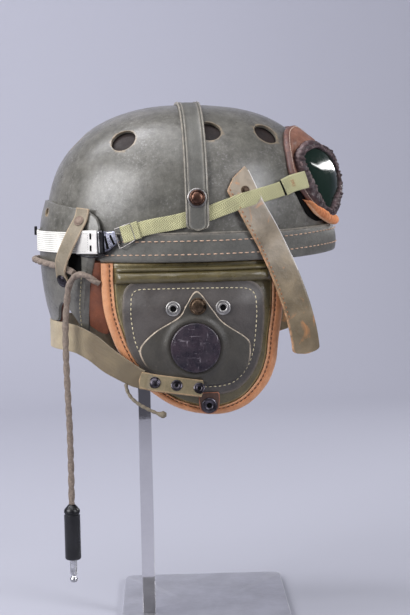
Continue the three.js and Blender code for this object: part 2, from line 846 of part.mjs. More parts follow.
function makeEarFlap(word, side) {
  const place = flapPlace(side);
  add(`ear_flap_${word}`,
    pad(flapBody, flapMiddle, [0.4, 0.7, 0.88, 1], flapFront, () => 0, place, [1]), 'oliveLeather');

  const open = flapOutline.findIndex((p, i) => i > 4 && p.y > flapDrop * 0.97 && p.x > 0);
  const edge = flapOutline.slice(0, open + 1);
  const insideEdge = drawnIn(flapOutline, bindingWidth).slice(0, open + 1);
  const lift = (bindingDepth - flapEdge) / 2;
  const section = [
    { into: 0, deep: 0.5 }, { into: 0.25, deep: 1 }, { into: 1, deep: 0.9 },
    { into: 1, deep: 0.1 }, { into: 0.25, deep: 0 }, { into: 0.08, deep: 0.2 },
  ];
  const rings = edge.map((p, i) => section.map((corner) => {
    const x = mix(p.x, insideEdge[i].x, corner.into);
    const y = mix(p.y, insideEdge[i].y, corner.into);
    return place(x, y, corner.deep * bindingDepth - lift);
  }));
  add(`ear_binding_${word}`, loft(rings), 'tanLeather');

  const rollEnds = flapWidth / 2 - bindingWidth - gap * 4;
  const rollSection = [
    { up: 0, deep: 0.15 }, { up: 0.25, deep: 1 }, { up: 0.75, deep: 1 }, { up: 1, deep: 0.15 },
  ];
  const rollTop = flapDrop - gap * 2;
  const rollRings = [];
  for (let i = 0; i <= 9; i += 1) {
    const x = mix(-rollEnds, rollEnds - 1, i / 9);
    const layer = (depthOf) => rollSection.map((row) => (
      place(x, rollTop - (1 - row.up) * rollHeight, flapEdge + gap * 2 + depthOf(row))));
    const front = layer((row) => gap + row.deep * rollDepth);
    rollRings.push([...front, ...layer(() => 0).reverse()]);
  }
  add(`ear_roll_${word}`, loft(rollRings), 'oliveLeather');
}

function makeReceiver(word, side) {
  const place = flapPlace(side);
  const pocketLayer = layerOnFlap(pocketWall, layerGap);
  const coverLayer = layerOnFlap(coverWall, pocketWall + layerGap * 1.8);
  const coverTop = pocketWall + coverWall + layerGap * 2.2;

  const pocket = outlineOf(POCKET_OUTLINE, flapWidth, flapDrop, 20);
  add(`receiver_pocket_${word}`,
    pad(pocket, centreOf(pocket), [0.35, 0.7, 1], pocketLayer.front, pocketLayer.back, place), 'greyLeather');
  const cover = outlineOf(COVER_OUTLINE, flapWidth, flapDrop, 22);
  const coverMiddle = point(0, flapDrop * 0.43, 0);
  add(`receiver_cover_${word}`,
    pad(cover, coverMiddle, [0.35, 0.7, 1], coverLayer.front, coverLayer.back, place), 'greyLeather');

  const discMiddle = point(flapWidth * -0.006, flapDrop * 0.453, 0);
  const disc = Array.from({ length: 20 }, (_, i) => {
    const angle = (i / 20) * Math.PI * 2;
    return point(Math.cos(angle), Math.sin(angle), 0).multiplyScalar(receiverDiameter / 2).add(discMiddle);
  });
  const face = flapFront(discMiddle.x, discMiddle.y) + coverTop + receiverHeight;
  const flat = (x) => face + flapSag * ((2 * x) / flapWidth) ** 2;
  const under = (x, y) => flapFront(x, y) + coverTop;
  const rounded = (x, y, share) => flat(x) - (share > 0.97 ? receiverHeight * 0.35 : 0);
  add(`receiver_${word}`, pad(disc, discMiddle, [0.9, 1], rounded, under, place, [1]), 'blackPlastic');

  const flapNormal = point(0, side, 0);
  const onFlap = (x, y, depth) => place(x, y, flapFront(x, y) + depth);
  add(`cover_snap_${word}`,
    domedButton(onFlap(flapWidth * 0.012, flapDrop * 0.72, coverTop + gap), flapNormal,
      snapDiameter, snapHeight), 'brass');
  const eyelets = [['rear', -0.12], ['front', 0.15]];
  for (const [end, across] of eyelets) {
    const foot = onFlap(flapWidth * across, flapDrop * 0.705, pocketWall + layerGap + gap);
    add(`pocket_eyelet_${end}_${word}`,
      ringButton(foot, flapNormal, eyeletDiameter, eyeletBore, snapHeight * 0.7), 'steel');
  }

  const tab = outlineOf(TAB_OUTLINE, flapWidth, flapDrop, 16);
  const tabDepth = Math.max(...tab.map((p) => flapFront(p.x, p.y)));
  const tabBack = Math.max(tabDepth, (bindingDepth + flapEdge) / 2) + pocketWall + layerGap + gap;
  add(`flap_tab_${word}`,
    pad(tab, centreOf(tab), [1], () => tabBack + pocketWall, () => tabBack, place), 'greyLeather');
}

// Nape strap: from ear flap to ear flap round the back, inside the guard's middle lobe and below its side lobes
const NAPE = [
  { bearing: 116.5, out: 1.084, drop: 1.345, tall: 0.72 },
  { bearing: 120, out: 1.085, drop: 1.32, tall: 0.8 },
  { bearing: 126, out: 1.08, drop: 1.25, tall: 0.88 },
  { bearing: 133, out: 1.06, drop: 1.17, tall: 0.96 },
  { bearing: 141, out: 1.03, drop: 1.07, tall: 1 },
  { bearing: 150, out: 0.998, drop: 1.0, tall: 1 },
  { bearing: 158, out: 0.955, drop: 0.98, tall: 1 },
  { bearing: 166, out: 0.93, drop: 0.98, tall: 1 },
  { bearing: 180, out: 0.915, drop: 0.98, tall: 1 },
];

function napeRing(row) {
  const angle = THREE.MathUtils.degToRad(row.bearing);
  const a = (crownLength / 2) * row.out;
  const b = (crownWidth / 2) * row.out;
  const reach = 1 / Math.hypot(Math.cos(angle) / a, Math.sin(angle) / b);
  const lean = (1 - row.tall) * napeHeight * 1.2;
  const height = row.tall * napeHeight;
  const outer = [];
  const inner = [];
  for (const k of [-0.5, 0, 0.5]) {
    const far = reach + k * lean;
    const z = browHeight - row.drop * napeDrop + k * height;
    outer.push(point((far + napeWall) * Math.cos(angle), row.side * (far + napeWall) * Math.sin(angle), z));
    inner.push(point(far * Math.cos(angle), row.side * far * Math.sin(angle), z));
  }
  return [...outer, ...inner.reverse()];
}

function makeNapeStrap() {
  const fine = smoothRows(NAPE, ['bearing', 'out', 'drop', 'tall'], 12);
  add('nape_strap', loft(bothSides(fine).map(napeRing)), 'webbing');
}

// Leather end of the nape strap, leaning outwards over the ear flap, with its first snap
function makeNapeTab(word, side) {
  const place = flapPlace(side);
  const wall = pocketWall * 1.3;
  const length = napeTabLength;
  const height = napeHeight * 0.66;
  const backX = flapWidth * -0.272;
  const base = flapEdge + flapBelly + gap;
  const rings = [0, 0.33, 0.66, 1].map((share) => {
    const x = backX + share * length;
    const middle = flapDrop * (0.245 - 0.06 * share);
    const top = place(x, middle + height * 0.42, base - wall);
    const low = place(x, middle - height * 0.42, base + height * 0.35 - wall);
    const out = point(0, side * wall, 0);
    return [top.clone().add(out), low.clone().add(out), low, top];
  });
  add(`nape_tab_${word}`, loft(rings), 'khakiLeather');
}

// Short straps over the neck guard, with a snap at each end
const GUARD_STRAP = [
  { bearing: 144, down: 0.075, stand: 0 },
  { bearing: 145.5, down: 0.15, stand: 0 },
  { bearing: 148, down: 0.25, stand: 0.6 },
  { bearing: 150.5, down: 0.37, stand: 1.05 },
  { bearing: 153, down: 0.48, stand: 1.05 },
  { bearing: 155.5, down: 0.58, stand: 0.25 },
  { bearing: 157.5, down: 0.66, stand: 0 },
];

function makeGuardStrap(word, side) {
  const clearOfCord = leadDiameter + gap * 4;
  const stations = smoothRows(GUARD_STRAP, ['bearing', 'down', 'stand'], 12);
  const middles = stations.map((s) => onGuard(s.bearing, s.down, gap + s.stand * clearOfCord, side));
  const lift = guardStrapWidth * 0.04;
  const frames = middles.map((middle, i) => {
    const before = middles[Math.max(0, i - 1)];
    const after = middles[Math.min(middles.length - 1, i + 1)];
    const along = after.clone().sub(before).normalize();
    const level = crownNormal(middle);
    const across = new THREE.Vector3().crossVectors(level, along).normalize();
    const normal = new THREE.Vector3().crossVectors(along, across).normalize();
    normal.multiplyScalar(Math.sign(normal.dot(level)));
    return { middle, across, normal };
  });
  const corner = (frame, k, deep) => frame.middle.clone()
    .addScaledVector(frame.across, k * guardStrapWidth)
    .addScaledVector(frame.normal, lift + deep);
  const rings = frames.map((frame) => [
    corner(frame, -0.5, guardStrapWall),
    corner(frame, 0.5, guardStrapWall),
    corner(frame, 0.5, 0),
    corner(frame, -0.5, 0),
  ]);
  add(`guard_strap_${word}`, loft(rings), 'khakiLeather');
  const seats = [['top', 1], ['bottom', frames.length - 2]];
  for (const [end, index] of seats) {
    const frame = frames[index];
    const foot = corner(frame, 0, guardStrapWall + gap * 2);
    add(`guard_strap_snap_${end}_${word}`,
      domedButton(foot, frame.normal, snapDiameter * 0.7, snapHeight), 'brass');
  }
}

// Goggles' webbing: front stretches in cotton, rear stretch in elastic
const WEBBING = [
  { bearing: 39, rise: 0.4, stand: 1.3 },
  { bearing: 43, rise: 0.352, stand: 1 },
  { bearing: 52, rise: 0.332, stand: 1 },
  { bearing: 60, rise: 0.304, stand: 1 },
  { bearing: 68, rise: 0.262, stand: 1 },
  { bearing: 74, rise: 0.226, stand: 0.95 },
  { bearing: 79, rise: 0.195, stand: 0.3 },
  { bearing: 84, rise: 0.168, stand: 0 },
  { bearing: 95, rise: 0.128, stand: 0 },
  { bearing: 103, rise: 0.102, stand: 0.4 },
  { bearing: 110, rise: 0.085, stand: 1.05 },
  { bearing: 117, rise: 0.06, stand: 1.1 },
  { bearing: 125, rise: 0.02, stand: 1.2 },
];

function makeWebbing(word, side) {
  const over = Math.max(sideStrapWall, bandWall) + gap;
  const rows = WEBBING.map((row) => ({ ...row, stand: gap + row.stand * over }));
  add(`goggle_webbing_${word}`,
    crownStrap(rows, { width: webbingWidth, wall: webbingWall, side, steps: 18, across: 1 }), 'webbing');
}

const elasticDown = (guardTop + 5) / guardDepth;
const elasticEnd = 137.5;

function makeElastic() {
  const rings = [];
  const steps = 9;
  const bearings = Array.from({ length: steps + 1 }, (_, i) => mix(elasticEnd, 180, i / steps));
  const rows = bothSides(bearings.map((bearing) => ({ bearing })));
  for (const row of rows) {
    const outer = [];
    const inner = [];
    for (const k of [-0.5, 0, 0.5]) {
      const down = elasticDown + (k * elasticWidth) / guardDepth;
      outer.push(onGuard(row.bearing, down, gap + elasticWall, row.side));
      inner.push(onGuard(row.bearing, down, gap, row.side));
    }
    rings.push([...outer, ...inner.reverse()]);
  }
  add('goggle_elastic', loft(rings), 'elastic');
}

// Flat wire buckle that joins the elastic to the webbing
const BUCKLE = [
  { bearing: 136.9, rise: -0.03, tall: 1, stand: 1 },
  { bearing: 133.5, rise: -0.02, tall: 1, stand: 0.88 },
  { bearing: 130.5, rise: -0.005, tall: 0.85, stand: 0.77 },
  { bearing: 125.9, rise: 0.014, tall: 0.6, stand: 0.64 },
];

function makeBuckle(word, side) {
  const half = elasticWidth / 2 / crownHeight;
  const rings = BUCKLE.map((row) => {
    const low = row.rise - half * row.tall;
    const high = row.rise + half * row.tall;
    const inside = guardStand * row.stand + gap * 2;
    const outside = inside + buckleWall;
    return [[high, outside], [low, outside], [low, inside], [high, inside]]
      .map(([rise, offset]) => onCrown(row.bearing, rise, offset, side));
  });
  add(`strap_buckle_${word}`, loft(rings), 'steel');
}

// Goggles: each eye has a lens, a rim and a leather cup that spreads to the crown
const LENS_OUTLINE = [
  { across: 0.5, up: 0.3 },
  { across: 0.3, up: 0.44 },
  { across: 0.05, up: 0.5 },
  { across: -0.22, up: 0.42 },
  { across: -0.42, up: 0.16 },
  { across: -0.5, up: -0.14 },
  { across: -0.42, up: -0.4 },
  { across: -0.2, up: -0.5 },
  { across: 0.06, up: -0.4 },
  { across: 0.26, up: -0.16 },
  { across: 0.42, up: 0.06 },
];
// The cup's foot on the crown, in the same order round the eye
const CUP_FOOT = [
  { bearing: 37, rise: 0.63 },
  { bearing: 30, rise: 0.74 },
  { bearing: 19, rise: 0.815 },
  { bearing: 7, rise: 0.775 },
  { bearing: 3, rise: 0.56 },
  { bearing: 3, rise: 0.34 },
  { bearing: 6, rise: 0.2 },
  { bearing: 17, rise: 0.165 },
  { bearing: 27, rise: 0.2 },
  { bearing: 35.5, rise: 0.29 },
  { bearing: 39.5, rise: 0.44 },
];

function lensFrame(side) {
  const facing = crownNormal(onCrown(lensFacing, 0));
  const turn = Math.atan2(facing.y, facing.x);
  const lean = THREE.MathUtils.degToRad(lensLean);
  const out = point(Math.cos(turn) * Math.cos(lean), side * Math.sin(turn) * Math.cos(lean), Math.sin(lean));
  const across = point(-Math.sin(turn), side * Math.cos(turn), 0);
  const up = point(-Math.cos(turn) * Math.sin(lean), -side * Math.sin(turn) * Math.sin(lean), Math.cos(lean));
  const origin = onCrown(lensBearing, lensRise / crownHeight, lensStand, side);
  return (x, y, depth) => {
    const bulge = -lensBulge * ((2 * x) / lensWidth) ** 2;
    return origin.clone()
      .addScaledVector(across, x)
      .addScaledVector(up, y)
      .addScaledVector(out, depth + bulge);
  };
}

function ringBody(paths) {
  const count = paths[0].length;
  const rings = Array.from({ length: count }, (_, i) => paths.map((path) => path[i]));
  return loft(rings, { loop: true });
}

function makeEyepiece(word, side) {
  const place = lensFrame(side);
  const count = 20;
  const outline = outlineOf(LENS_OUTLINE, lensWidth, lensHeight, count);
  const lensEdge = insetOf(outline, gap);
  const middle = centreOf(lensEdge);
  const crest = (x, y, share) => lensWall + lensBulge * 0.3 * (1 - share * share);
  add(`goggle_lens_${word}`,
    pad(lensEdge, middle, [0.6, 1], crest, (x, y, share) => crest(x, y, share) - lensWall, place, [1]),
    'glass');

  const rimOuter = insetOf(outline, -rimWidth);
  const path = (points, depth) => points.map((p) => place(p.x, p.y, depth));
  const between = outline.map((p, i) => p.clone().lerp(rimOuter[i], 0.5));
  add(`goggle_rim_${word}`, ringBody([
    path(outline, -rimDepth * 0.35),
    path(outline, rimDepth * 0.6),
    path(between, rimDepth * 0.8),
    path(rimOuter, rimDepth * 0.4),
    path(rimOuter, -rimDepth * 0.35),
    path(between, -rimDepth * 0.5),
  ]), 'gogglesLeather');

  const foot = new THREE.CatmullRomCurve3(
    CUP_FOOT.map((row) => onCrown(row.bearing, row.rise, 0, side)), true, 'centripetal');
  const feet = foot.getSpacedPoints(count).slice(0, count);
  const rimInner = insetOf(outline, -rimWidth * 0.1);
  const topOut = path(rimOuter, -rimDepth * 0.35 - rimDepth * 0.15 - gap);
  const topIn = path(rimInner, -rimDepth * 0.35 - rimDepth * 0.15 - gap);
  const swell = (a, b, share, push) => a.map((p, i) => (
    p.clone().lerp(b[i], share).addScaledVector(crownNormal(b[i]), push)));
  const footOut = feet.map((p) => settle(p, gap + cupWall * 0.8));
  const footLow = feet.map((p) => settle(p, gap));
  const heart = point(0, 0, 0);
  feet.forEach((p) => heart.add(p));
  heart.divideScalar(count);
  const footIn = feet.map((p) => settle(p.clone().lerp(heart, 0.12), gap));
  add(`goggle_cup_${word}`, ringBody([
    topIn,
    topOut,
    swell(topOut, footOut, 0.55, cupWall * 1.6),
    footOut,
    footLow,
    footIn,
    swell(topIn, footIn, 0.5, cupWall * 0.2),
  ]), 'gogglesLeather');
}

// Puckered roll of the lining below each eye
const LINING_ROLL = [
  { bearing: 5, rise: 0.137, plump: 0.6 },
  { bearing: 10, rise: 0.109, plump: 0.9 },
  { bearing: 18, rise: 0.092, plump: 1 },
  { bearing: 26, rise: 0.117, plump: 1 },
  { bearing: 32, rise: 0.172, plump: 0.9 },
  { bearing: 35.5, rise: 0.212, plump: 0.6 },
];

function makeLiningRoll(word, side) {
  const stations = smoothRows(LINING_ROLL, ['bearing', 'rise', 'plump'], 10);
  const rings = stations.map((s) => Array.from({ length: 6 }, (_, k) => {
    const angle = ((k + 0.5) / 6) * Math.PI * 2;
    const radius = (liningRoll / 2) * s.plump;
    const rise = s.rise + (Math.sin(angle) * radius) / crownHeight;
    return onCrown(s.bearing, rise, gap * 2 + radius * (1 + Math.cos(angle)), side);
  }));
  add(`goggle_lining_${word}`, loft(rings), 'chamois');
}

// Leather bridge over the rims' inner edges
function makeBridge() {
  const ringAt = (side, share) => {
    const place = lensFrame(side);
    const x = -(lensWidth / 2 + rimWidth * 0.5);
    const corner = (up, deep) => {
      const p = place(x, up * bridgeHeight, deep);
      p.y *= share;
      return p;
    };
    const inner = rimDepth * 0.8 + gap * 2;
    const outer = inner + cupWall;
    return [corner(0.4, outer), corner(-0.6, outer), corner(-0.6, inner), corner(0.4, inner)];
  };
  const rings = [ringAt(rightSide, 1), ringAt(rightSide, 0.3), ringAt(leftSide, 0.3), ringAt(leftSide, 1)];
  add('goggle_bridge', loft(rings), 'gogglesLeather');
}

// Stand: plate, and a square post with an arm and a pad under the crown's lining
function makeStand() {
  const corner = plateCorner;
  const halfX = plateLength / 2;
  const halfY = plateWidth / 2;
  const outline = new THREE.Shape();
  outline.moveTo(halfX - corner, -halfY);
  outline.absarc(halfX - corner, -halfY + corner, corner, -Math.PI / 2, 0);
  outline.absarc(halfX - corner, halfY - corner, corner, 0, Math.PI / 2);
  outline.absarc(-halfX + corner, halfY - corner, corner, Math.PI / 2, Math.PI);
  outline.absarc(-halfX + corner, -halfY + corner, corner, Math.PI, Math.PI * 1.5);
  const plate = new THREE.ExtrudeGeometry(outline, { depth: plateWall, bevelEnabled: false, curveSegments: 4 });
  const base = add('stand_plate', plate, 'steel');
  base.position.set(plateForward, 0, 0);
  base.rotation.z = THREE.MathUtils.degToRad(plateTurn);

  const underLining = -crownWall - gap - liningWall - padSeat;
  const padMiddle = point(-padLength * 0.25, 0, 0);
  const padEdge = Array.from({ length: 16 }, (_, i) => {
    const angle = (i / 16) * Math.PI * 2;
    return point(padMiddle.x + (Math.cos(angle) * padLength) / 2, (Math.sin(angle) * padWidth) / 2, 0);
  });
  const ceiling = (x, y) => settle(point(x, y, browHeight + crownHeight), underLining);
  const place = (x, y, depth) => {
    const top = ceiling(x, y);
    return point(top.x, top.y, top.z - depth);
  };
  const cushion = pad(padEdge, padMiddle, [0.45, 0.8, 1], () => 0, () => padWall, place);
  const armTop = ceiling(-postBack - postSize / 2, 0).z - padWall * 0.6;
  const post = new THREE.BoxGeometry(postSize, postSize, armTop - plateWall - gap);
  post.translate(-postBack, 0, (armTop + plateWall + gap) / 2);
  const armLength = postBack;
  const arm = new THREE.BoxGeometry(armLength, postSize, armWall);
  arm.translate(-postBack + armLength / 2 - postSize * 0.25, 0, armTop - armWall / 2);
  const joined = manifoldOf(post).add(manifoldOf(arm)).add(manifoldOf(cushion));
  add('stand_post', geometryFrom(joined), 'steel');
}

// Cord routes, as shares of the crown's half length and half width and of the guard's depth below the brow.
// Near an ear flap a cord is tied to the flap's rear edge, by the share that its row gives.
const LEAD_ROUTE = [
  { along: -0.6596, across: -0.8224, drop: 0.3246, tie: 1 },
  { along: -0.695, across: -0.8299, drop: 0.3015, tie: 0.9 },
  { along: -0.734, across: -0.8262, drop: 0.2731, tie: 0.7 },
  { along: -0.773, across: -0.8112, drop: 0.2582, tie: 0.5 },
  { along: -0.8121, across: -0.785, drop: 0.2672, tie: 0.3 },
  { along: -0.844, across: -0.7523, drop: 0.3015, tie: 0.15 },
  { along: -0.8645, across: -0.7252, drop: 0.3507, tie: 0 },
  { along: -0.8738, across: -0.7103, drop: 0.4104, tie: 0 },
  { along: -0.8823, across: -0.6991, drop: 0.4925, tie: 0 },
  { along: -0.8922, across: -0.6916, drop: 0.6194, tie: 0 },
  { along: -0.895, across: -0.6916, drop: 0.7687, tie: 0 },
  { along: -0.8936, across: -0.6916, drop: 0.9478, tie: 0 },
  { along: -0.8887, across: -0.6916, drop: 1.1642, tie: 0 },
  { along: -0.8837, across: -0.6916, drop: 1.3806, tie: 0 },
  { along: -0.8823, across: -0.6916, drop: 1.597, tie: 0 },
  { along: -0.8837, across: -0.6916, drop: 1.8134, tie: 0 },
  { along: -0.8844, across: -0.6916, drop: 1.8955, tie: 0 },
];
const BRANCH_ROUTE = [
  { along: -0.8241, across: -0.7486, drop: 0.2507, tie: 0.3 },
  { along: -0.8582, across: -0.6916, drop: 0.2328, tie: 0.15 },
  { along: -0.9113, across: -0.6121, drop: 0.2149, tie: 0 },
  { along: -0.9787, across: -0.486, drop: 0.1985, tie: 0 },
  { along: -1.0426, across: -0.3271, drop: 0.1866, tie: 0 },
  { along: -1.0809, across: -0.1495, drop: 0.1791, tie: 0 },
  { along: -1.0922, across: 0, drop: 0.1791, tie: 0 },
  { along: -1.0809, across: 0.1495, drop: 0.1806, tie: 0 },
  { along: -1.0426, across: 0.3271, drop: 0.1896, tie: 0 },
  { along: -0.9787, across: 0.486, drop: 0.2045, tie: 0 },
  { along: -0.9099, across: 0.6168, drop: 0.2284, tie: 0.15 },
  { along: -0.8369, across: 0.7196, drop: 0.2582, tie: 0.35 },
  { along: -0.766, across: 0.7963, drop: 0.291, tie: 0.6 },
  { along: -0.7057, across: 0.828, drop: 0.3179, tie: 0.85 },
  { along: -0.6589, across: 0.8224, drop: 0.3358, tie: 1 },
];
// The lace, as shares of the ear flap's width, height and belly
const LACE_ROUTE = [
  { across: -0.3828, up: 0.2199, deep: 0.9322 },
  { across: -0.3759, up: 0.1733, deep: 0.9266 },
  { across: -0.3506, up: 0.1226, deep: 0.8916 },
  { across: -0.3046, up: 0.0774, deep: 0.8173 },
  { across: -0.2529, up: 0.0432, deep: 0.7173 },
  { across: -0.2011, up: 0.0158, deep: 0.6234 },
  { across: -0.1667, up: 0.0123, deep: 0.5726 },
];

const TIP_PROFILE = [
  { out: 0, along: 0 },
  { out: 0.85, along: 0 },
  { out: 0.85, along: 0.55 },
  { out: 0.5, along: 0.66 },
  { out: 1, along: 0.78 },
  { out: 0.7, along: 0.95 },
  { out: 0, along: 1 },
];

function routeRound(rows) {
  const flapRear = flapCentre - flapWidth / 2;
  const drift = flapRear - (flapRearAlong * crownLength) / 2;
  return rows.map((row) => point(
    (row.along * crownLength) / 2 + row.tie * drift,
    (row.across * crownWidth) / 2,
    browHeight - row.drop * guardDepth,
  ));
}

function cordAlong(route, diameter, steps, sides) {
  const curve = new THREE.CatmullRomCurve3(route, false, 'centripetal');
  const section = new THREE.Shape();
  for (let i = 0; i < sides; i += 1) {
    const angle = (i / sides) * Math.PI * 2;
    const x = (Math.cos(angle) * diameter) / 2;
    const y = (Math.sin(angle) * diameter) / 2;
    if (i === 0) {
      section.moveTo(x, y);
    } else {
      section.lineTo(x, y);
    }
  }
  section.closePath();
  return new THREE.ExtrudeGeometry(section, { steps, extrudePath: curve, bevelEnabled: false });
}

function makeHeadsetLead() {
  const lead = routeRound(LEAD_ROUTE);
  add('headset_lead', cordAlong(lead, leadDiameter, 21, 8), 'cord');
  add('headset_branch', cordAlong(routeRound(BRANCH_ROUTE), leadDiameter, 21, 8), 'cord');
  const down = point(0, 0, -1);
  const radius = plugDiameter / 2;
  const neck = leadDiameter * 0.6;
  const chamfer = radius * 0.26;
  const plugTop = lead[lead.length - 1].clone().addScaledVector(down, gap);
  add('plug_body', turned([
    [0, 0], [neck, 0], [radius, neck],
    [radius, plugLength - chamfer], [radius - chamfer, plugLength], [0, plugLength],
  ], plugTop, down, 12), 'blackPlastic');
  const tip = tipDiameter / 2;
  const tipProfile = TIP_PROFILE.map((row) => [row.out * tip, row.along * tipLength]);
  const tipTop = plugTop.clone().addScaledVector(down, plugLength + gap);
  add('plug_tip', turned(tipProfile, tipTop, down, 10), 'steel');
}

function makeLace() {
  const place = flapPlace(rightSide);
  const route = LACE_ROUTE.map((row) => (
    place(row.across * flapWidth, row.up * flapDrop, row.deep * flapBelly)));
  add('flap_lace', cordAlong(route, laceDiameter, 8, 8), 'khakiLeather');
}

makeCrown();
makeBand();
makeNeckGuard();
makeCrownStrap();
makeNapeStrap();
makeElastic();
for (const [word, side] of SIDES) {
  makeSideStrap(word, side);
  makeEarFlap(word, side);
  makeReceiver(word, side);
  makeNapeTab(word, side);
  makeGuardStrap(word, side);
  makeWebbing(word, side);
  makeBuckle(word, side);
  makeEyepiece(word, side);
  makeLiningRoll(word, side);
}
makeBridge();
makeHeadsetLead();
makeLace();
makeStand();

export default helmet;
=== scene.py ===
"""Tanker helmet with goggles on a display stand.

Sizes are named in millimetres, as in the part's source, and build() writes every mesh in metres.
A helmet piece is placed by its bearing round the crown (degrees from the front, the same on both
sides) and by its rise, a share of the crown's height above or below the brow line.
"""
import json
import math
from bisect import bisect_left

import bpy
from mathutils import Matrix, Vector
from mathutils.noise import fractal, noise
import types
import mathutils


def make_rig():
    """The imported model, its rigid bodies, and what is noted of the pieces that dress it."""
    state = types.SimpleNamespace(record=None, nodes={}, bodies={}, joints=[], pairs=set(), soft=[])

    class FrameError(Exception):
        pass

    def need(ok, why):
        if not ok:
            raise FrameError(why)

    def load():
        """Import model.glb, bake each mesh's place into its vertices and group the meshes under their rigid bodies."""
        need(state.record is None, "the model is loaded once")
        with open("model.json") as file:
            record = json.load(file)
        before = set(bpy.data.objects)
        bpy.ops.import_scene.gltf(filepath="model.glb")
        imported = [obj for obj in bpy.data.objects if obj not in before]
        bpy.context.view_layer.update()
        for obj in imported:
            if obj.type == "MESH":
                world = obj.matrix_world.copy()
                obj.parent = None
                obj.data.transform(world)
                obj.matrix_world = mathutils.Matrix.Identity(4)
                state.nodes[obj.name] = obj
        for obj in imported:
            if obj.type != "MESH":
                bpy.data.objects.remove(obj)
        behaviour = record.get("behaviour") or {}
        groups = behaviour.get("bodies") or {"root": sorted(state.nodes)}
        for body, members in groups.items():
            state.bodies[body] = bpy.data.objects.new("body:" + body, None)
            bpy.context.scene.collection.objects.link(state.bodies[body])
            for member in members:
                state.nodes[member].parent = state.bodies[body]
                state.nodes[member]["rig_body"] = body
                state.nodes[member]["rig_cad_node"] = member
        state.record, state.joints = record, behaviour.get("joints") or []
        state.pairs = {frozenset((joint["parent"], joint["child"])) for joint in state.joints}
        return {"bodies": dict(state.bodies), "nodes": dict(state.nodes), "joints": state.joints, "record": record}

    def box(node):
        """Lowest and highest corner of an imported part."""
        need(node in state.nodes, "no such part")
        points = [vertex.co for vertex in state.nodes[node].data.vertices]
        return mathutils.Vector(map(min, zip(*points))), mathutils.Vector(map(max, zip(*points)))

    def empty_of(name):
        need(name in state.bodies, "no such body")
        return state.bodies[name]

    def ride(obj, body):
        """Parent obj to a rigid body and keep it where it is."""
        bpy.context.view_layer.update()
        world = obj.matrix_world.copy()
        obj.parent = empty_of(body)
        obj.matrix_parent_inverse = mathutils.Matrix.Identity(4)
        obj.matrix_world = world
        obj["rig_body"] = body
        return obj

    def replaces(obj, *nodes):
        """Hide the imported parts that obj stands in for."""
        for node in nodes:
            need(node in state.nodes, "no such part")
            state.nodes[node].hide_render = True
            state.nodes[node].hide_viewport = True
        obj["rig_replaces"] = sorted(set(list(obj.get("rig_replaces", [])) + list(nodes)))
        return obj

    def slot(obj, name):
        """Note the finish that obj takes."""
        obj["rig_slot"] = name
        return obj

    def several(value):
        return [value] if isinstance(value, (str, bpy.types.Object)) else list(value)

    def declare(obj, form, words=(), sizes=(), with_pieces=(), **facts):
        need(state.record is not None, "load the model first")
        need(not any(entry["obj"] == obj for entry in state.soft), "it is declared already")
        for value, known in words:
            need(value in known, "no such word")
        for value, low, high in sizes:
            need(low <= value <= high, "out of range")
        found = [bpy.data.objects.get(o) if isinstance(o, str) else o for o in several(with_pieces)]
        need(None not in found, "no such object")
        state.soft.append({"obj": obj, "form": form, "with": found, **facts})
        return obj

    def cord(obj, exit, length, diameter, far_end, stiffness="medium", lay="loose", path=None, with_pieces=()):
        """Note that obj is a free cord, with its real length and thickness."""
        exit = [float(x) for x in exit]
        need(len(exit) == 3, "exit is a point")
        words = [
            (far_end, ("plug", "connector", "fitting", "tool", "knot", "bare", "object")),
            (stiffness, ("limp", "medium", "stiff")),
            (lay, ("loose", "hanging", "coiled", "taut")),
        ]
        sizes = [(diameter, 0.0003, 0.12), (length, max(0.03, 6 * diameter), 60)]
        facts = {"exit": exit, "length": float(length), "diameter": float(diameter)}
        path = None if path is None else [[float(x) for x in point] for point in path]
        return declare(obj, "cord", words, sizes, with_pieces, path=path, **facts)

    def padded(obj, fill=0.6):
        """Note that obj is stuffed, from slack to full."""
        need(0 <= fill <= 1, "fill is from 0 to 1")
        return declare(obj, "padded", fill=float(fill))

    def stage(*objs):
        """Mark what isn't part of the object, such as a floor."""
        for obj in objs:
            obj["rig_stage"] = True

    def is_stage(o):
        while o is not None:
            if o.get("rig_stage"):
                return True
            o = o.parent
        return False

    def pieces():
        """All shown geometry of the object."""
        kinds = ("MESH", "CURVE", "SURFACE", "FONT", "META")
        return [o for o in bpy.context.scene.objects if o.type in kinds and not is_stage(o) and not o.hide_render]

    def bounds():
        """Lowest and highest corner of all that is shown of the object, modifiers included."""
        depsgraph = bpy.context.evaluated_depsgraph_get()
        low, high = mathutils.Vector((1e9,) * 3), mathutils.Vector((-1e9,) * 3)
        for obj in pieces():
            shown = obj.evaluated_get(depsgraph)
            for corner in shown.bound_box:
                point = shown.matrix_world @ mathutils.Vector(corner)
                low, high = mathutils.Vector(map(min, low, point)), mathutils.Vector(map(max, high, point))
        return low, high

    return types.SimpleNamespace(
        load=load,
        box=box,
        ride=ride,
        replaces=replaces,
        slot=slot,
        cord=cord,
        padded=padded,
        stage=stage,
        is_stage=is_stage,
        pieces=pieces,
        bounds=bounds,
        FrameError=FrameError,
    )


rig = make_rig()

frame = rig.load()
cad_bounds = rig.bounds()

MM = 0.001
RIGHT = -1
LEFT = 1
SIDES = (("right", RIGHT), ("left", LEFT))

# Sizes that come from the frame
_, shell_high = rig.box("crown_shell")
HALF_LENGTH = shell_high.x / MM
HALF_WIDTH = shell_high.y / MM
CROWN_TOP = shell_high.z / MM

# Crown
CROWN_HEIGHT = 125
BROW = CROWN_TOP - CROWN_HEIGHT
SQUARENESS = 2.45
CROWN_WALL = 3
SKIRT_DROP = 22
LINING_WALL = 2
VENT_RADIUS = 12.5
VENT_RISE = 0.76
GAP = 0.3

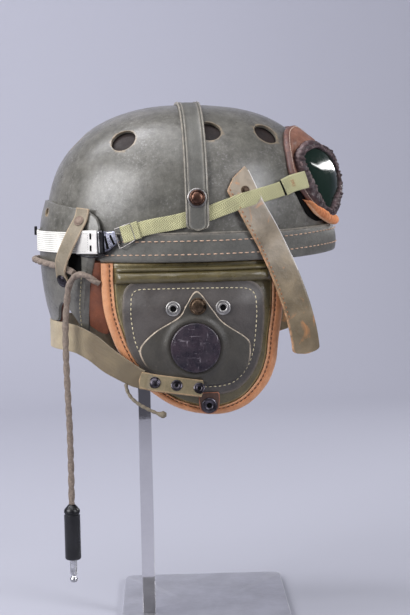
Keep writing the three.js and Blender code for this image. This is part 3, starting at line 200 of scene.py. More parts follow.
# Leather and webbing
BAND_TOP = 5.8
BAND_HEIGHT = 28
BAND_WALL = 3
BAND_SEAT = 0.45
BROW_ROLL = 5.5
CROWN_STRAP_WIDTH = 22
CROWN_STRAP_WALL = 2.4
SIDE_STRAP_WIDTH = 23
SIDE_STRAP_WALL = 2.6
SIDE_STRAP_HANG = 112
WEBBING_WIDTH = 14
WEBBING_WALL = 1.8
ELASTIC_WIDTH = 20
ELASTIC_WALL = 1.8
STITCH_PITCH = 6.2

# Neck guard
GUARD_TOP = 34
GUARD_STAND = 8
GUARD_WALL = 2.6
GUARD_DEPTH = 134
GUARD_STRAP_WIDTH = 15
GUARD_STRAP_WALL = 2
NAPE_HEIGHT = 27
NAPE_WALL = 2
NAPE_DROP = 99
NAPE_TAB_LENGTH = 60

# Ear flaps
FLAP_WIDTH = 174
FLAP_DROP = 146
FLAP_CENTRE = -4
FLAP_TUCK = 10
FLAP_SAG = 13
FLAP_EDGE = 6
FLAP_BELLY = 13
FLAP_TOP = BROW - SKIRT_DROP - 2.3
BINDING_WIDTH = 9
BINDING_DEPTH = 8.5
BINDING_SIDES = 1.25
BINDING_FOOT = 0.85
POCKET_WALL = 1.6
COVER_WALL = 1.4
LAYER_GAP = 1.35
RECEIVER_RADIUS = 23.5
SNAP_RADIUS = 7.5

# Goggles
LENS_WIDTH = 63
LENS_FACING = 21.23
LENS_BEARING = 15.43
LENS_STAND = 8.8
LENS_LEAN = 12
LENS_BULGE = 6
LENS_RISE = 51
RIM_WIDTH = 6
RIM_DEPTH = 6

# Headset lead and lace
LEAD_DIAMETER = 6.4
CORD_TWIST = 27
PLUG_RADIUS = 7.75
PLUG_LENGTH = 54
TIP_RADIUS = 4
TIP_LENGTH = 22.5
LACE_DIAMETER = 3

# Stand: the plate, the square post and the pad on its hidden arm
PLATE_HALF = (85, 152)
PLATE_WALL = 5
PLATE_MIDDLE = (9, -5)
PLATE_TURN = math.radians(-3.4)
PLATE_CORNER = 11
POST_BACK = -55.5
POST_WIDTH = 13
PAD_WALL = 9
PAD_BELOW_CROWN = 7.9

# Room. The pale table ends in front of the stand, so that the post mirrors the dark room at its top
TABLE_FRONT = -1300
TABLE_BACK = 1400
ROOM_SIDE = 4000
ROOM_HEIGHT = 4000
ROOM_BEND = 900


# Camera and light

CAMERA_YAW = math.radians(-4.8)
CAMERA_PITCH = math.radians(5.27)
CAMERA_ROLL = math.radians(1.2)
CAMERA_PLACE = Vector((-0.1286, -1.7031, 0.4714))
CAMERA_LENS = 100


def add_camera():
    back = Vector((
        math.sin(CAMERA_YAW) * math.cos(CAMERA_PITCH),
        -math.cos(CAMERA_YAW) * math.cos(CAMERA_PITCH),
        math.sin(CAMERA_PITCH),
    ))
    level = Vector((0, 0, 1)).cross(back).normalized()
    upright = back.cross(level)
    right = level * math.cos(CAMERA_ROLL) - upright * math.sin(CAMERA_ROLL)
    up = level * math.sin(CAMERA_ROLL) + upright * math.cos(CAMERA_ROLL)
    data = bpy.data.cameras.new("camera")
    data.lens = CAMERA_LENS
    data.clip_end = 50
    camera = bpy.data.objects.new("camera", data)
    turn = Matrix((right, up, back)).transposed().to_4x4()
    camera.matrix_world = Matrix.Translation(CAMERA_PLACE) @ turn
    bpy.context.scene.collection.objects.link(camera)
    bpy.context.scene.camera = camera


# Name, place, target, size, power, colour and roll of each soft light
LIGHTS = (
    ("key", (-1.35, -0.82, 1.03), (0, 0, 0.4), (1.1, 0.9), 30, (0.985, 0.985, 1), 0),
    ("second", (1.15, -1.1, 1), (0, 0, 0.38), (0.5, 0.9), 15, (0.95, 0.96, 1), 0),
    ("strip", (1.22, 0.43, 0.75), (0.12, -0.04, 0.44), (1.83, 0.05), 6, (1, 1, 1), -9.4),
    ("top", (-0.2, -0.3, 1.4), (0, 0, 0.3), (1, 0.8), 7, (0.97, 0.97, 1), 0),
    ("wall", (-1, 0.3, 1.9), (-0.3, 2.3, 0.7), (1.4, 0.8), 30, (0.95, 0.95, 1), 0),
)


def add_light(name, place, target, size, power, colour, roll):
    data = bpy.data.lights.new(name, "AREA")
    data.shape = "RECTANGLE"
    data.size, data.size_y = size
    data.energy = power
    data.color = colour
    light = bpy.data.objects.new(name, data)
    facing = Vector(target) - Vector(place)
    turn = facing.to_track_quat("-Z", "Y").to_matrix().to_4x4() @ Matrix.Rotation(math.radians(roll), 4, "Z")
    light.matrix_world = Matrix.Translation(place) @ turn
    bpy.context.scene.collection.objects.link(light)


def add_world():
    """A dim room round the lit table, and the colours shown as they are."""
    world = bpy.data.worlds.new("dim_room")
    world.use_nodes = True
    world.node_tree.nodes["Background"].inputs["Color"].default_value = (0.10, 0.10, 0.12, 1)
    bpy.context.scene.world = world
    bpy.context.scene.view_settings.view_transform = "Standard"


add_camera()
add_world()


# Meshes

# A face larger than this, in square millimetres, is one of a flat piece's sides
FLAT_FACE = 200
SHARP_ANGLE = math.radians(50)


def smooth_object(name, points, faces, paint):
    mesh = bpy.data.meshes.new(name)
    mesh.from_pydata([p * MM for p in points], [], faces)
    mesh.polygons.foreach_set("use_smooth", [True] * len(mesh.polygons))
    mesh.materials.append(paint)
    made = bpy.data.objects.new(name, mesh)
    bpy.context.scene.collection.objects.link(made)
    return made


def build(name, points, faces, paint, uvs=None, wear=None, replaces=()):
    """A smooth piece in the row frame, riding on the root body. Points are in millimetres."""
    volume = sum(
        points[f[0]].dot(points[f[i]].cross(points[f[i + 1]]))
        for f in faces for i in range(1, len(f) - 1)
    )
    if volume < 0:
        faces = [tuple(reversed(f)) for f in faces]
        if uvs:
            uvs = [tuple(reversed(corner)) for corner in uvs]
    piece = smooth_object(name, points, faces, paint)
    mesh = piece.data
    if uvs:
        layer = mesh.uv_layers.new(name="strap")
        layer.data.foreach_set("uv", [value for face in uvs for corner in face for value in corner])
    if wear:
        worn = mesh.attributes.new("wear", "FLOAT", "POINT")
        worn.data.foreach_set("value", wear)
    mesh.set_sharp_from_angle(angle=SHARP_ANGLE)
    for polygon in mesh.polygons:
        if polygon.area > FLAT_FACE * MM * MM:
            polygon.use_smooth = False
    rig.ride(piece, "root")
    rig.slot(piece, paint["slot"])
    if replaces:
        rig.replaces(piece, *replaces)
    return piece


def loft(rings, loop=False, uv_along=None, uv_round=None):
    """Points, faces and corner UVs of a body through rings, which has two ends or closes on itself."""
    count = len(rings[0])
    points = [p for ring in rings for p in ring]
    faces, uvs = [], []
    for i in range(len(rings) if loop else len(rings) - 1):
        for j in range(count):
            i2, j2 = (i + 1) % len(rings), (j + 1) % count
            faces.append((i * count + j, i2 * count + j, i2 * count + j2, i * count + j2))
            if uv_along:
                u, u2 = uv_along[i], uv_along[i + 1]
                v, v2 = uv_round[j], uv_round[j + 1]
                uvs.append(((u, v), (u2, v), (u2, v2), (u, v2)))
    if not loop:
        for start in (0, (len(rings) - 1) * count):
            middle = len(points)
            points.append(sum(points[start:start + count], Vector()) / count)
            side = uv_along[0 if start == 0 else -1] if uv_along else 0
            for j in range(count):
                j2 = (j + 1) % count
                face = (middle, start + j, start + j2) if start == 0 else (middle, start + j2, start + j)
                faces.append(face)
                if uv_along:
                    uvs.append(((side, 0), (side, uv_round[j]), (side, uv_round[j + 1])))
    return points, faces, uvs


def skin(name, rings, paint, wear=None, loop=False, replaces=()):
    """A piece through rings of points. The wear lists every point, and each end's middle after them."""
    points, faces, _ = loft(rings, loop)
    return build(name, points, faces, paint, wear=wear, replaces=replaces)


def bare_ends(wear, size):
    """The wear of a body's rings, with its first and last ring and its two ends rubbed bare."""
    return [1.0] * size + wear[size:-size] + [1.0] * (size + 2)


def grid(rows):
    """Points and faces of a net of points that is open on every side."""
    width = len(rows[0])
    faces = [
        (i * width + j, (i + 1) * width + j, (i + 1) * width + j + 1, i * width + j + 1)
        for i in range(len(rows) - 1) for j in range(width - 1)
    ]
    return [p for row in rows for p in row], faces


def shade_sheet(name, rows, backed):
    """A thin black sheet through rows of points, with a back of its own: a painted shadow laid on a surface."""
    points, faces = grid(rows)
    count = len(points)
    faces += [tuple(count + v for v in reversed(face)) for face in faces]
    build(name, points + [backed(p) for p in points], faces, SHADE_BLACK)


def mix(a, b, share):
    return a + (b - a) * share


def span(start, end, steps):
    """Evenly spaced values from the start to the end."""
    return [mix(start, end, i / steps) for i in range(steps + 1)]


def clamp(value, low=0.0, high=1.0):
    return max(low, min(high, value))


def smoothstep(value, low, high):
    share = clamp((value - low) / (high - low))
    return share * share * (3 - 2 * share)


def catmull(values, at):
    """The value at a fractional index of a smooth curve through the values."""
    i = min(len(values) - 2, int(at))
    t = at - i
    p0, p1 = values[max(0, i - 1)], values[i]
    p2, p3 = values[i + 1], values[min(len(values) - 1, i + 2)]
    return 0.5 * (
        p1 * 2 + (p2 - p0) * t + (p0 * 2 - p1 * 5 + p2 * 4 - p3) * t ** 2
        + (p1 * 3 - p0 - p2 * 3 + p3) * t ** 3
    )


def smooth_rows(rows, steps):
    """The rows of a table as many finer rows. A row is a tuple of numbers."""
    columns = list(zip(*rows))
    ats = [i / steps * (len(rows) - 1) for i in range(steps + 1)]
    return [tuple(catmull(column, at) for column in columns) for at in ats]


def smooth_path(points, steps):
    """Evenly spaced points on a smooth curve through the points."""
    fine = [catmull(points, i / 12) for i in range(12 * (len(points) - 1))] + [points[-1].copy()]
    return even(fine, steps)


def running_lengths(path):
    lengths = [0.0]
    for a, b in zip(path, path[1:]):
        lengths.append(lengths[-1] + (b - a).length)
    return lengths


def stretch_at(lengths, want):
    """The stretch between two of the rising lengths that holds a length, and the share of it."""
    i = bisect_left(lengths, want, 1, len(lengths) - 1) - 1
    return i, (want - lengths[i]) / max(1e-9, lengths[i + 1] - lengths[i])


def level_at(table, place):
    """The second column of a table at a place in its first."""
    i, share = stretch_at([row[0] for row in table], place)
    return catmull([row[1] for row in table], i + clamp(share))


def even(path, steps):
    lengths = running_lengths(path)
    spaced = []
    for k in range(steps + 1):
        i, share = stretch_at(lengths, lengths[-1] * k / steps)
        spaced.append(path[i].lerp(path[i + 1], clamp(share)))
    return spaced


def path_length(path):
    return sum((b - a).length for a, b in zip(path, path[1:]))


def smooth_loop(points, steps):
    """A closed smooth curve with as many places after each point, so that two curves keep in step."""
    size = len(points)
    return [catmull([points[(i + k) % size] for k in (-1, 0, 1, 2)], 1 + t / steps)
            for i in range(size) for t in range(steps)]


def closed_curve(points, count, steps=12):
    """Evenly spaced points on a closed smooth curve."""
    fine = smooth_loop(points, steps)
    return even(fine + [fine[0]], count)[:-1]


def outline(rows, width, height, count):
    """A closed smooth curve through places that are shares of a width and a height."""
    return closed_curve([Vector((across * width, up * height, 0)) for across, up in rows], count, 10)


def centre(points):
    return sum(points, Vector()) / len(points)


def shrunk(shape, distance):
    """The closed outline drawn in towards its middle."""
    middle = centre(shape)
    return [p + (middle - p).normalized() * distance for p in shape]


def inset(shape, distance):
    """The closed outline moved inwards, or outwards by a negative distance."""
    middle = centre(shape)
    moved = []
    for i, p in enumerate(shape):
        along = (shape[(i + 1) % len(shape)] - shape[i - 1]).normalized()
        inward = Vector((-along.y, along.x, 0))
        if inward.dot(middle - p) < 0:
            inward.negate()
        moved.append(p + inward * distance)
    return moved


# Places on the crown


def on_crown(bearing, rise, offset=0.0, side=LEFT):
    angle = math.radians(bearing)
    height = rise * CROWN_HEIGHT
    up = min(1, max(0, height) / (CROWN_HEIGHT + offset))
    shrink = (1 - up ** SQUARENESS) ** (1 / SQUARENESS)
    across = math.cos(angle) / (HALF_LENGTH + offset)
    along = math.sin(angle) / (HALF_WIDTH + offset)
    reach = shrink / math.hypot(across, along)
    return Vector((reach * math.cos(angle), side * reach * math.sin(angle), BROW + height))


def settle(place, offset):
    """Moves a point in or out until it lies at the offset from the crown."""
    x, y = place.x / (HALF_LENGTH + offset), place.y / (HALF_WIDTH + offset)
    up = (place.z - BROW) / (CROWN_HEIGHT + offset)
    around = math.hypot(x, y)
    if up <= 0:
        return Vector((place.x / around, place.y / around, place.z))
    size = (around ** SQUARENESS + up ** SQUARENESS) ** (1 / SQUARENESS)
    return Vector((place.x / size, place.y / size, BROW + (place.z - BROW) / size))


def crown_normal(place):
    up = max(0, place.z - BROW) / CROWN_HEIGHT
    around = math.hypot(place.x / HALF_LENGTH, place.y / HALF_WIDTH)
    pull = around ** (SQUARENESS - 2)
    lift = up ** (SQUARENESS - 1) / CROWN_HEIGHT
    return Vector((pull * place.x / HALF_LENGTH ** 2, pull * place.y / HALF_WIDTH ** 2, lift)).normalized()


# Straps, rows of stitches, cords and turned pieces


def slab(width, wall, across=6, bevel=0.5):
    """A strap's section: (across, out, wear) from edge to edge on the outside, and back on the inside."""
    half = width / 2
    corner = bevel * 0.3
    outside = [(-half, wall - bevel, 1.0), (-half + corner, wall - corner, 1.0), (-half + bevel, wall, 0.7)]
    inner = half - bevel - 1.2
    outside += [(mix(-inner, inner, k / across), wall, 0.0) for k in range(across + 1)]
    outside += [(-a, o, w) for a, o, w in reversed(outside[:3])]
    inside = [(a, max(0.0, (wall - o) * 0.8), w) for a, o, w in reversed(outside)]
    return outside + inside


class Ribbon:
    """The middle line of a strap, with its directions: along it, across it and out of its face."""

    def __init__(self, middles, outs, stands=None):
        self.middles, self.stands = middles, stands
        self.alongs = [
            (middles[min(i + 1, len(middles) - 1)] - middles[max(i - 1, 0)]).normalized()
            for i in range(len(middles))
        ]
        self.acrosses = [o.cross(a).normalized() for o, a in zip(outs, self.alongs)]
        self.outs = [a.cross(c).normalized() for a, c in zip(self.alongs, self.acrosses)]
        self.lengths = running_lengths(middles)
        self.length = self.lengths[-1]

    def blend(self, values, length):
        i, share = stretch_at(self.lengths, length)
        return mix(values[i], values[i + 1], share)

    def out_at(self, length):
        return self.blend(self.outs, length)
    def at(self, length, across=0.0, out=0.0):
        place = self.blend(self.middles, length) + self.blend(self.acrosses, length) * across
        if self.stands:
            return settle(place, self.blend(self.stands, length) + out)
        return place + self.out_at(length) * out
    def near(self, place):
        """The length along the ribbon at which it passes closest to a place."""
        best = min(range(len(self.middles)), key=lambda i: (self.middles[i] - place).length)
        return self.lengths[best]

    def strap(self, name, section, paint, start=0.0, end=None, steps=60, broad=None, lift=0.0, shift=None,
              replaces=()):
        """A strap of a section of (across, out, wear). Its breadth, lift and shift may follow its length."""
        lengths = span(start, self.length if end is None else end, steps)
        rings = []
        for length in lengths:
            wide = broad(length) if broad else 1.0
            rise = lift(length) if callable(lift) else lift
            aside = shift(length) if shift else 0.0
            rings.append([self.at(length, a * wide + aside, o + rise) for a, o, _ in section])
        perimeter = [0.0]
        for k in range(len(section)):
            a, b = section[k], section[(k + 1) % len(section)]
            perimeter.append(perimeter[-1] + math.hypot(a[0] - b[0], a[1] - b[1]))
        points, faces, uvs = loft(rings, uv_along=[x * MM for x in lengths],
                                  uv_round=[x * MM for x in perimeter])
        wear = bare_ends([w for _ in lengths for _, _, w in section], len(section))
        return build(name, points, faces, paint, uvs, wear, replaces=replaces)

    def walk(self, across, out, start=0.0, end=None, pitch=STITCH_PITCH):
        """Places for stitches: (point, along, out)."""
        end = self.length if end is None else end
        count = max(1, round((end - start) / pitch))
        places = []
        for k in range(count):
            length = mix(start, end, (k + 0.5) / count)
            side = across(length) if callable(across) else across
            places.append((self.at(length, side, out), self.blend(self.alongs, length),
                           self.out_at(length)))
        return places


def crown_ribbon(rows, side, steps=60):
    """A ribbon that lies on the crown, from rows of bearing, rise and stand."""
    fine = smooth_rows(rows, steps)
    middles = [on_crown(*row, side) for row in fine]
    return Ribbon(middles, [crown_normal(p) for p in middles], [row[2] for row in fine])


# How far along, how broad and how high each ring of a stitch is
STITCH_RINGS = ((-0.5, 0.0, -0.6), (-0.42, 0.6, 0.0), (-0.2, 1.0, 0.55), (0.2, 1.0, 0.55), (0.42, 0.6, 0.0),
                (0.5, 0.0, -0.6))


def stitches(name, places, paint, length=4.2, width=1.1, height=0.8):
    """A row of raised stitches, each a small rounded body that dips at both ends."""
    points, faces = [], []
    for place, along, out in places:
        across = out.cross(along).normalized()
        wobble = 0.12 * noise(place * 0.31) * width
        rings = []
        for reach, broad, rise in STITCH_RINGS:
            ring = []
            for j in range(6):
                angle = j / 6 * math.tau
                radius = max(0.12, broad) * width / 2
                ring.append(place + along * (reach * length) + across * (math.cos(angle) * radius + wobble)
                            + out * (rise * height * 0.7 + math.sin(angle) * radius * 0.8))
            rings.append(ring)
        more, sides, _ = loft(rings)
        shift = len(points)
        points += more
        faces += [tuple(shift + v for v in face) for face in sides]
    return build(name, points, faces, paint)


def tube(name, path, radius, paint, sides=12, replaces=()):
    """A round body along a path. The radius may be a function of the share of the way and the angle."""
    rings = []
    up = Vector((0.13, 0.31, 1)).normalized()
    for i, p in enumerate(path):
        along = (path[min(i + 1, len(path) - 1)] - path[max(i - 1, 0)]).normalized()
        across = along.cross(up).normalized()
        up = across.cross(along).normalized()
        share = i / (len(path) - 1)
        ring = []
        for j in range(sides):
            angle = j / sides * math.tau
            size = radius(share, angle) if callable(radius) else radius
            ring.append(p + across * math.cos(angle) * size + up * math.sin(angle) * size)
        rings.append(ring)
    return skin(name, rings, paint, replaces=replaces)


def lathe(name, profile, foot, along, paint, sides=48, replaces=(), hollow=False):
    """A turned piece from (radius, height) corners that stands on its foot along a direction."""
    along = along.normalized()
    level = along.orthogonal().normalized()
    other = along.cross(level)
    rings = []
    for radius, height in profile:
        rings.append([
            foot + along * height + (level * math.cos(a) + other * math.sin(a)) * max(radius, 0.01)
            for a in (j / sides * math.tau for j in range(sides))
        ])
    return skin(name, rings, paint, loop=hollow, replaces=replaces)


def arc(radius, height, start, end, steps=6):
    """Corners of a rounded profile between two shares of a quarter turn."""
    turns = [mix(start, end, k / steps) * math.pi / 2 for k in range(steps + 1)]
    return [(radius * math.cos(a), height * math.sin(a)) for a in turns]


def snap(name, foot, along, radius, paint, height=2.6, replaces=()):
    """A snap's cap: a rolled rim, a groove and a low dome."""
    rim, dome = height * 0.26, height * 0.42
    profile = [(0, 0), (radius * 0.94, 0)]
    profile += [(radius * 0.86 + r, rim + h) for r, h in arc(radius * 0.14, height * 0.3, -0.8, 1, 5)]
    profile += [(radius * 0.76, dome)]
    profile += [(r, dome + h) for r, h in arc(radius * 0.74, height * 0.58, 0.12, 1, 8)]
    return lathe(name, profile, foot, along, paint, replaces=replaces)


def socket(name, foot, along, radius, paint, height=1.8):
    """A snap's flush lower half, with an open middle."""
    profile = [(radius * 0.3, 0), (radius, 0), (radius, height * 0.4), (radius * 0.9, height * 0.8),
               (radius * 0.72, height), (radius * 0.5, height * 0.85), (radius * 0.36, height * 0.5),
               (radius * 0.3, height * 0.2)]
    lathe(name, profile, foot, along, paint, sides=40, hollow=True)
    # The open middle holds a black disc: painted shade in the hole
    well = [(0, 0), (radius * 0.34, 0), (radius * 0.34, height * 0.2), (0, height * 0.2)]
    lathe(name + "_well", well, foot, along, SHADE_BLACK, sides=24)


def bevelled_box(name, low, high, bevel, paint, replaces=(), turn=0.0, corner=None):
    """A box with rounded upright edges and bevelled rims, turned about its middle."""
    corner = corner or bevel
    half_x, half_y = (high[0] - low[0]) / 2, (high[1] - low[1]) / 2
    middle = Vector(((low[0] + high[0]) / 2, (low[1] + high[1]) / 2, 0))
    rings = []
    for z, draw in ((low[2], bevel), (low[2] + bevel * 0.3, bevel * 0.3), (low[2] + bevel, 0),
                    (high[2] - bevel, 0), (high[2] - bevel * 0.3, bevel * 0.3), (high[2], bevel)):
        ring = []
        for across, along, start in ((1, 1, 0), (-1, 1, 1), (-1, -1, 2), (1, -1, 3)):
            for angle in span(start * math.pi / 2, (start + 1) * math.pi / 2, 8):
                p = Vector((across * (half_x - corner) + math.cos(angle) * (corner - draw * 0.99),
                            along * (half_y - corner) + math.sin(angle) * (corner - draw * 0.99), 0))
                p.rotate(Matrix.Rotation(turn, 3, "Z"))
                ring.append(p + middle + Vector((0, 0, z)))
        rings.append(ring)
    return skin(name, rings, paint, replaces=replaces)


# Paint: every material is worked out from the place on the object


class Paint:
    def __init__(self, name, slot):
        self.material = bpy.data.materials.new(name)
        self.material.use_nodes = True
        if slot:
            self.material["slot"] = slot
        self.nodes = self.material.node_tree.nodes
        self.links = self.material.node_tree.links
        self.shader = self.nodes["Principled BSDF"]
        self.place = self.nodes.new("ShaderNodeTexCoord").outputs["Object"]
        self.height = None

    def set(self, **values):
        for key, value in values.items():
            self.shader.inputs[key.replace("_", " ")].default_value = value

    def feed(self, inlet, value):
        if isinstance(value, bpy.types.NodeSocket):
            self.links.new(value, inlet)
        elif isinstance(value, tuple) and len(value) == 3 and inlet.type == "RGBA":
            inlet.default_value = (*value, 1)
        else:
            inlet.default_value = value

    def node(self, kind, output=0, settings=None, **inputs):
        """A node's output. An input is named, or is i and its number."""
        made = self.nodes.new(kind)
        for key, value in (settings or {}).items():
            setattr(made, key, value)
        for key, value in inputs.items():
            self.feed(made.inputs[int(key[1:]) if key[0] == "i" and key[1:].isdigit() else key], value)
        return made.outputs[output]

    def noise(self, scale, detail=4.0, rough=0.55, place=None, warp=0.0):
        return self.node("ShaderNodeTexNoise", Vector=place or self.place, Scale=scale, Detail=detail,
                         Roughness=rough, Distortion=warp)

    def cells(self, scale):
        return self.node("ShaderNodeTexVoronoi", settings={"feature": "F1"}, Vector=self.place, Scale=scale)

    def stretch(self, scale):
        return self.node("ShaderNodeMapping", settings={"vector_type": "POINT"}, Vector=self.place,
                         Scale=Vector(scale))

    def axes(self, vector):
        split = self.nodes.new("ShaderNodeSeparateXYZ")
        self.links.new(vector, split.inputs[0])
        return split.outputs

    def ramp(self, value, *stops):
        made = self.nodes.new("ShaderNodeValToRGB")
        self.links.new(value, made.inputs[0])
        elements = made.color_ramp.elements
        while len(elements) < len(stops):
            elements.new(0.5)
        for element, (at, shade) in zip(elements, stops):
            element.position = at
            element.color = (*shade, 1) if isinstance(shade, tuple) else (shade, shade, shade, 1)
        return made.outputs[0]

    def mix(self, share, a, b, blend="MIX"):
        made = self.nodes.new("ShaderNodeMix")
        made.data_type = "RGBA"
        made.blend_type = blend
        self.feed(made.inputs[0], share)
        self.feed(made.inputs[6], a)
        self.feed(made.inputs[7], b)
        return made.outputs[2]

    def maths(self, operation, a, b=0.5):
        return self.node("ShaderNodeMath", settings={"operation": operation}, i0=a, i1=b)

    def rubbed(self, scale, low, high):
        """The edges marked in the point attribute, broken up by noise between two stops: rubbing on most pieces,
        painted shade on the goggle cups' feet, painted highlight on the chamois rolls' undersides and the receiver
        covers' upper edges.
        """
        worn = self.node("ShaderNodeAttribute", output=2, settings={"attribute_name": "wear"})
        return self.maths("MULTIPLY", worn, self.ramp(self.noise(scale, 4, 0.7), low, high))

    def bump(self, height, strength, distance):
        """Adds a layer of relief, in millimetres."""
        made = self.nodes.new("ShaderNodeBump")
        for key, value in (("Height", height), ("Strength", strength), ("Distance", distance * MM)):
            self.feed(made.inputs[key], value)
        if self.height:
            self.links.new(self.height, made.inputs["Normal"])
        self.height = made.outputs[0]
        self.links.new(self.height, self.shader.inputs["Normal"])

    def colour(self, value):
        self.feed(self.shader.inputs["Base Color"], value)

    def rough(self, value):
        self.feed(self.shader.inputs["Roughness"], value)


def leather(name, slot, dark, mid, worn, rough=(0.34, 0.6), patch=45, scuffs=0.4, edge=0.9, grain=1.0,
            coat=0.0):
    p = Paint(name, slot)
    broad = p.noise(patch, 5, 0.6, warp=0.4)
    base = p.ramp(broad, (0.36, dark), (0.64, mid))
    fine = p.noise(620, 3, 0.6)
    base = p.mix(0.35, base, p.ramp(fine, (0.3, tuple(c * 0.6 for c in mid)), (0.7, mid)))
    scratch = p.ramp(p.noise(150, 6, 0.75, warp=1.2), (0.56, 0.0), (0.74, 1.0))
    base = p.mix(p.maths("MULTIPLY", scratch, scuffs), base, worn)
    base = p.mix(p.maths("MULTIPLY", p.rubbed(210, (0.32, 0.25), (0.6, 1.0)), edge), base, worn)
    p.colour(base)
    p.rough(p.ramp(p.noise(95, 4, 0.6), (0.3, rough[0]), (0.7, rough[1])))
    p.bump(p.cells(560), 0.22 * grain, 0.28)
    p.bump(p.noise(240, 5, 0.65), 0.4 * grain, 0.5)
    p.set(Coat_Weight=coat, Coat_Roughness=0.3)
    return p.material


# The stretch over which painted shade darkens the nape strap towards the front, in metres along X
FRONT_SHADE_START = -0.128
FRONT_SHADE_FULL = -0.1


def weave(name, slot, dark, light, across=1.3, ribs=False, rough=0.85, stain=None, stain_share=0.0, ply=0.3,
          front_shade=None):
    """Webbing: twill lines that turn back along its middle, or plain ribs along it."""
    p = Paint(name, slot)
    along, over, _ = p.axes(p.node("ShaderNodeUVMap", settings={"uv_map": "strap"}))
    pitch = math.tau / (across * MM)
    if ribs:
        lines = p.maths("SINE", p.maths("MULTIPLY", over, pitch))
        threads = p.maths("SINE", p.maths("MULTIPLY", along, pitch * 2.2))
    else:
        turned = p.maths("PINGPONG", over, 3.6 * MM)
        slanted = p.maths("ADD", p.maths("MULTIPLY", along, 0.8), turned)
        lines = p.maths("SINE", p.maths("MULTIPLY", slanted, pitch))
        threads = p.maths("SINE", p.maths("MULTIPLY", over, pitch * 1.9))
    raised = p.maths("ADD", p.maths("MULTIPLY", lines, ply), 0.5)
    soft = p.maths("ADD", raised, p.maths("MULTIPLY", threads, 0.14))
    fuzz = p.noise(1300, 3, 0.7)
    shade = p.maths("ADD", p.maths("MULTIPLY", soft, 0.65), p.maths("MULTIPLY", fuzz, 0.4))
    base = p.ramp(shade, (0.3, dark), (0.78, light))
    patch = p.ramp(p.noise(60, 4, 0.6), (0.35, 0.8), (0.65, 1.08))
    base = p.mix(1.0, base, patch, "MULTIPLY")
    if stain:
        dirty = p.ramp(p.noise(75, 5, 0.7), (0.45, 0.0), (0.62, stain_share))
        base = p.mix(dirty, base, stain)
    # Painted shade: the webbing is multiplied darker towards the front
    if front_shade:
        front = p.node("ShaderNodeMapRange", Value=p.axes(p.place)[0], i1=FRONT_SHADE_START, i2=FRONT_SHADE_FULL)
        base = p.mix(1.0, base, p.mix(front, (1.0, 1.0, 1.0), front_shade), "MULTIPLY")
    p.colour(base)
    p.bump(soft, 0.7, 0.35)
    p.bump(fuzz, 0.4, 0.25)
    p.set(Roughness=rough, Sheen_Weight=0.25, Sheen_Roughness=0.6)
    return p.material


def metal(name, slot, dark, light, rough=(0.25, 0.5), metallic=1.0, patch=90):
    p = Paint(name, slot)
    p.colour(p.ramp(p.noise(patch, 6, 0.7), (0.38, dark), (0.62, light)))
    p.rough(p.ramp(p.noise(patch * 1.7, 4, 0.6), (0.3, rough[0]), (0.7, rough[1])))
    p.bump(p.noise(patch * 6, 3, 0.6), 0.15, 0.1)
    p.set(Metallic=metallic)
    return p.material


def plain(name, slot, colour, rough, shine=0.5):
    p = Paint(name, slot)
    p.set(Base_Color=(*colour, 1), Roughness=rough, Specular_IOR_Level=shine)
    return p.material


def thread(name, slot, colour):
    p = Paint(name, slot)
    p.colour(p.ramp(p.noise(420, 3, 0.6), (0.3, tuple(c * 0.55 for c in colour)), (0.62, colour)))
    p.bump(p.noise(2400, 2, 0.5), 0.5, 0.15)
    p.set(Roughness=0.8)
    return p.material


def fibre_paint(name):
    """The crown's satin paint on vulcanised fibre, mottled, with pale specks, partly scuffs and partly painted sheen,
    and rubbed vent edges.
    """
    p = Paint(name, "crown_fibre")
    broad = p.noise(16, 6, 0.6, warp=0.3)
    base = p.ramp(broad, (0.32, (0.088, 0.085, 0.072)), (0.68, (0.138, 0.132, 0.116)))
    blotch = p.ramp(p.noise(95, 7, 0.75), (0.34, 0.62), (0.66, 1.3))
    base = p.mix(0.85, base, p.mix(1.0, base, blotch, "MULTIPLY"))
    # Pale grey specks in broad patches: scuffs, and painted sheen on the satin paint
    scuff_and_sheen_specks = p.ramp(p.noise(380, 5, 0.8), (0.54, 0.0), (0.68, 0.7))
    high = p.ramp(p.noise(22, 3, 0.5), (0.4, 0.1), (0.64, 1.0))
    base = p.mix(p.maths("MULTIPLY", scuff_and_sheen_specks, high), base, (0.30, 0.29, 0.29))
    base = p.mix(p.rubbed(160, (0.35, 0.2), (0.6, 1.0)), base, (0.30, 0.23, 0.15))
    p.colour(base)
    p.rough(p.ramp(p.noise(140, 6, 0.75), (0.3, 0.24), (0.7, 0.46)))
    p.bump(p.noise(150, 5, 0.65), 0.5, 0.5)
    p.bump(p.noise(700, 4, 0.7), 0.5, 0.16)
    p.set(Coat_Weight=0.25, Coat_Roughness=0.22)
    return p.material


def scratched(name, slot, dark, light, mark):
    """Moulded plastic with bright scratches in two directions."""
    p = Paint(name, slot)
    base = p.ramp(p.noise(70, 5, 0.65), (0.35, dark), (0.65, light))
    for stretch in ((60, 60, 420), (420, 60, 90)):
        marks = p.ramp(p.noise(1, 5, 0.75, place=p.stretch(stretch), warp=0.5), (0.60, 0.0), (0.70, 0.7))
        base = p.mix(marks, base, mark)
    p.colour(base)
    p.rough(p.ramp(p.noise(120, 4, 0.6), (0.3, 0.18), (0.7, 0.42)))
    p.bump(p.noise(220, 4, 0.6), 0.25, 0.15)
    return p.material


# The heights between which the side strap turns from olive to grey brown, in metres
STRAP_OLIVE_TOP = 0.345
STRAP_GREY_FOOT = 0.405


